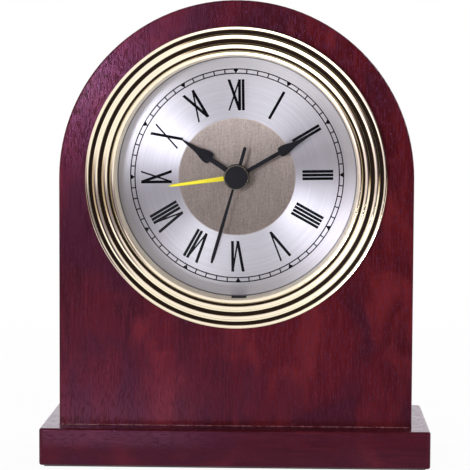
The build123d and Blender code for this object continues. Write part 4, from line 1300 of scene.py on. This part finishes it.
@dataclass(frozen=True)
class Lamp:
    """One soft lamp."""

    name: str
    place: Triple
    aim: Triple
    size: Pair
    power: float
    tint: Triple = (1.0, 1.0, 1.0)
    in_diffuse: bool = True
    in_gloss: bool = True

    def build(self) -> None:
        """Add the lamp to the scene."""
        data = bpy.data.lights.new(self.name, "AREA")
        data.shape = "RECTANGLE"
        data.size, data.size_y = self.size
        data.energy = self.power
        data.color = self.tint
        lamp = bpy.data.objects.new(self.name, data)
        lamp.location = self.place
        lamp.rotation_euler = (Vector(self.aim) - Vector(self.place)).to_track_quat("-Z", "Y").to_euler()
        lamp.visible_camera = False
        lamp.visible_diffuse = self.in_diffuse
        lamp.visible_glossy = self.in_gloss
        bpy.context.scene.collection.objects.link(lamp)


@dataclass(frozen=True)
class DimSide:
    """One darker side of the room: its way, where the dark starts and ends, and the light that is left.

    The light is given for ways far from the front, between, and straight ahead.
    """

    way: Triple
    start: float
    end: float
    aside: float
    between: float
    ahead: float


@dataclass
class Studio:
    """Pale floor, white background, soft lamps and the camera."""

    camera_place: Triple = (18.41 * MM, -576.5 * MM, 110.95 * MM)
    camera_turn: Triple = (85.771, -0.2593, 1.9312)
    lens: float = 143.42
    sensor: float = 36.0
    nearest: float = 0.01
    floor_half: float = 4.0
    floor_front: float = -0.06
    floor_scale: float = 4.0
    floor_tone: Pair = (0.86, 0.89)
    floor_white: Pair = (0.93, 1.0)
    floor_reach: Pair = (0.12, 0.60)
    front_way: Triple = (-0.032, -0.999, -0.025)
    low_left_way: Triple = (-0.64, 0.0, -0.77)
    room_level: float = 1.1
    back_level: float = 0.45
    dusk_levels: Pair = (0.52, 0.05)
    dusk_span: Pair = (-0.14, -0.015)
    low_left_boost: Pair = (0.15, 0.75)
    low_left_span: Pair = (0.40, 0.95)
    # Spans of nearness to the front: 1 is straight ahead of the clock, 0 beside it and -1 behind it.
    ahead_span: Pair = (0.966, 0.990)
    behind_span: Pair = (-0.3, 0.1)
    dim_between_span: Pair = (0.76, 0.88)
    dim_ahead_span: Pair = (0.91, 0.96)
    dim_start_span: Pair = (-0.10, 0.10)
    boost_span: Pair = (0.60, 0.90)
    shade_span: Pair = (0.76, 0.86)
    warm_shade: Colour = (1.0, 0.66, 0.32, 1.0)
    lilac_shade: Colour = (0.88, 0.70, 1.0, 1.0)
    open_light: Colour = (0.97, 0.94, 1.0, 1.0)
    dim_sides: tuple[DimSide, ...] = (
        DimSide((0.59, 0.0, 0.81), 0.42, 0.60, 0.05, 0.90, 1.0),
        DimSide((-0.99, 0.0, -0.13), 0.962, 0.992, 0.45, 0.58, 1.0),
        DimSide((0.985, 0.0, 0.17), 0.965, 0.992, 0.30, 0.32, 1.0),
        DimSide((-0.98, 0.0, -0.20), 0.82, 0.98, 1.0, 1.0, 0.02),
        DimSide((0.98, 0.0, 0.20), 0.82, 0.98, 1.0, 1.0, 0.02))
    lamps: tuple[Lamp, ...] = (
        Lamp("key", (-0.26, -0.80, 0.086), (0.0, 0.0, 0.086), (0.07, 0.07), 3.1, in_gloss=False),
        Lamp("fill", (0.45, -0.45, 0.25), (0.0, 0.0, 0.086), (0.4, 0.4), 1.75, in_gloss=False),
        Lamp("side_box", (-0.15, -0.70, 0.14), (0.0, 0.0, 0.086), (0.06, 0.06), 0.60, (0.92, 0.90, 1.0),
             in_diffuse=False),
        Lamp("low_box", (-0.13, -0.75, -0.15), (0.0, 0.0, 0.086), (0.16, 0.10), 0.20, (0.97, 0.95, 1.0),
             in_diffuse=False))

    def build(self) -> None:
        """Build the stage."""
        self.floor()
        self.world()
        for lamp in self.lamps:
            lamp.build()
        data = bpy.data.cameras.new("camera")
        data.sensor_width = self.sensor
        data.lens = self.lens
        data.clip_start = self.nearest
        camera = bpy.data.objects.new("camera", data)
        camera.location = self.camera_place
        camera.rotation_euler = [math.radians(angle) for angle in self.camera_turn]
        bpy.context.scene.collection.objects.link(camera)
        bpy.context.scene.camera = camera
        bpy.context.scene.view_settings.view_transform = "Standard"

    def seen(self, graph: Graph) -> Socket:
        """Find where the background is looked at, straight, in gloss or through glass.

        Args:
            graph: the graph that needs it.
        Returns:
            A socket that is 1 there.
        """
        path = graph.add("ShaderNodeLightPath").outputs
        looked = graph.math("ADD", path["Is Camera Ray"], path["Is Glossy Ray"], True)
        return graph.math("ADD", looked, path["Is Transmission Ray"], True)

    def floor(self) -> None:
        """Lay the floor, white to the eye, with the clock's shadow on it."""
        half, front = self.floor_half, self.floor_front
        mesh = bpy.data.meshes.new("floor")
        corners = [(-half, front, 0.0), (half, front, 0.0), (half, half, 0.0), (-half, half, 0.0)]
        mesh.from_pydata(corners, [], [(0, 1, 2, 3)])
        floor = bpy.data.objects.new("floor", mesh)
        bpy.context.scene.collection.objects.link(floor)
        material = bpy.data.materials.new("pale_floor")
        material.use_nodes = True
        graph = Graph(material.node_tree)
        place = graph.add("ShaderNodeTexCoord").outputs["Object"]
        tone = graph.ramp(graph.noise(place, self.floor_scale, 2.0), *NOISE_SPAN, *self.floor_tone)
        paint = graph.made("ShaderNodeBsdfDiffuse", {"Color": tone})
        white = graph.made("ShaderNodeEmission", {"Strength": 1.0})
        far = graph.ramp(graph.vector("LENGTH", place), *self.floor_reach, *self.floor_white)
        share = graph.math("MULTIPLY", self.seen(graph), far)
        both = graph.made("ShaderNodeMixShader", {0: share, 1: paint, 2: white})
        graph.add("ShaderNodeOutputMaterial", {"Surface": both})
        mesh.materials.append(material)

    def world(self) -> None:
        """Set a white background round a dim front of the room."""
        world = bpy.data.worlds.new("studio")
        world.use_nodes = True
        bpy.context.scene.world = world
        graph = Graph(world.node_tree)
        way = graph.add("ShaderNodeTexCoord").outputs["Generated"]
        front = graph.vector("DOT_PRODUCT", way, self.front_way)
        flat = graph.vector("NORMALIZE", graph.vector("MULTIPLY", way, ACROSS_AND_UP))
        # Dark straight in front of the clock, lighter round it and behind it.
        dusk = graph.ramp(graph.axis(way, "X"), *self.dusk_span, *self.dusk_levels)
        level = graph.math("ADD", graph.ramp(front, *self.ahead_span, self.room_level, dusk),
                           graph.ramp(front, *self.behind_span, self.back_level, 0.0))
        # Dim sides in the front half of the room give the beads and the dial their darker parts.
        shaded: Any = 1.0
        for side in self.dim_sides:
            least = graph.ramp(front, *self.dim_between_span, side.aside, side.between)
            least = graph.ramp(front, *self.dim_ahead_span, least, side.ahead)
            dim = graph.ramp(graph.vector("DOT_PRODUCT", flat, side.way), side.start, side.end)
            shaded = graph.math("MULTIPLY", shaded, graph.mix(dim, WHITE, least))
        shaded = graph.mix(graph.ramp(front, *self.dim_start_span), WHITE, shaded)
        # A little more light from low on the left.
        low_left = graph.vector("DOT_PRODUCT", flat, self.low_left_way)
        boost = graph.math("MULTIPLY", graph.ramp(low_left, *self.low_left_span),
                           graph.ramp(front, *self.boost_span, *self.low_left_boost))
        level = graph.math("MULTIPLY", level, graph.math("ADD", boost, 1.0))
        shade = graph.mix(graph.ramp(front, *self.shade_span), self.warm_shade, self.lilac_shade)
        tint = graph.mix(shaded, shade, self.open_light)
        light = graph.vector("SCALE", tint, graph.math("MULTIPLY", level, shaded))
        camera = graph.add("ShaderNodeLightPath").outputs["Is Camera Ray"]
        colour = graph.mix(camera, light, WHITE)
        background = graph.made("ShaderNodeBackground", {"Color": colour, "Strength": 1.0})
        graph.add("ShaderNodeOutputWorld", {"Surface": background})


def main() -> None:
    """Build the stage and every sub-assembly, in order."""
    logging.basicConfig(level=logging.INFO, format="%(name)s: %(message)s")
    bench = Bench(Effects())
    Studio().build()
    for assembly in (WoodStand(bench), Insert(bench), Movement(bench)):
        assembly.build()
        log.info("built %s", type(assembly).__name__)


if __name__ == "__main__":
    main()
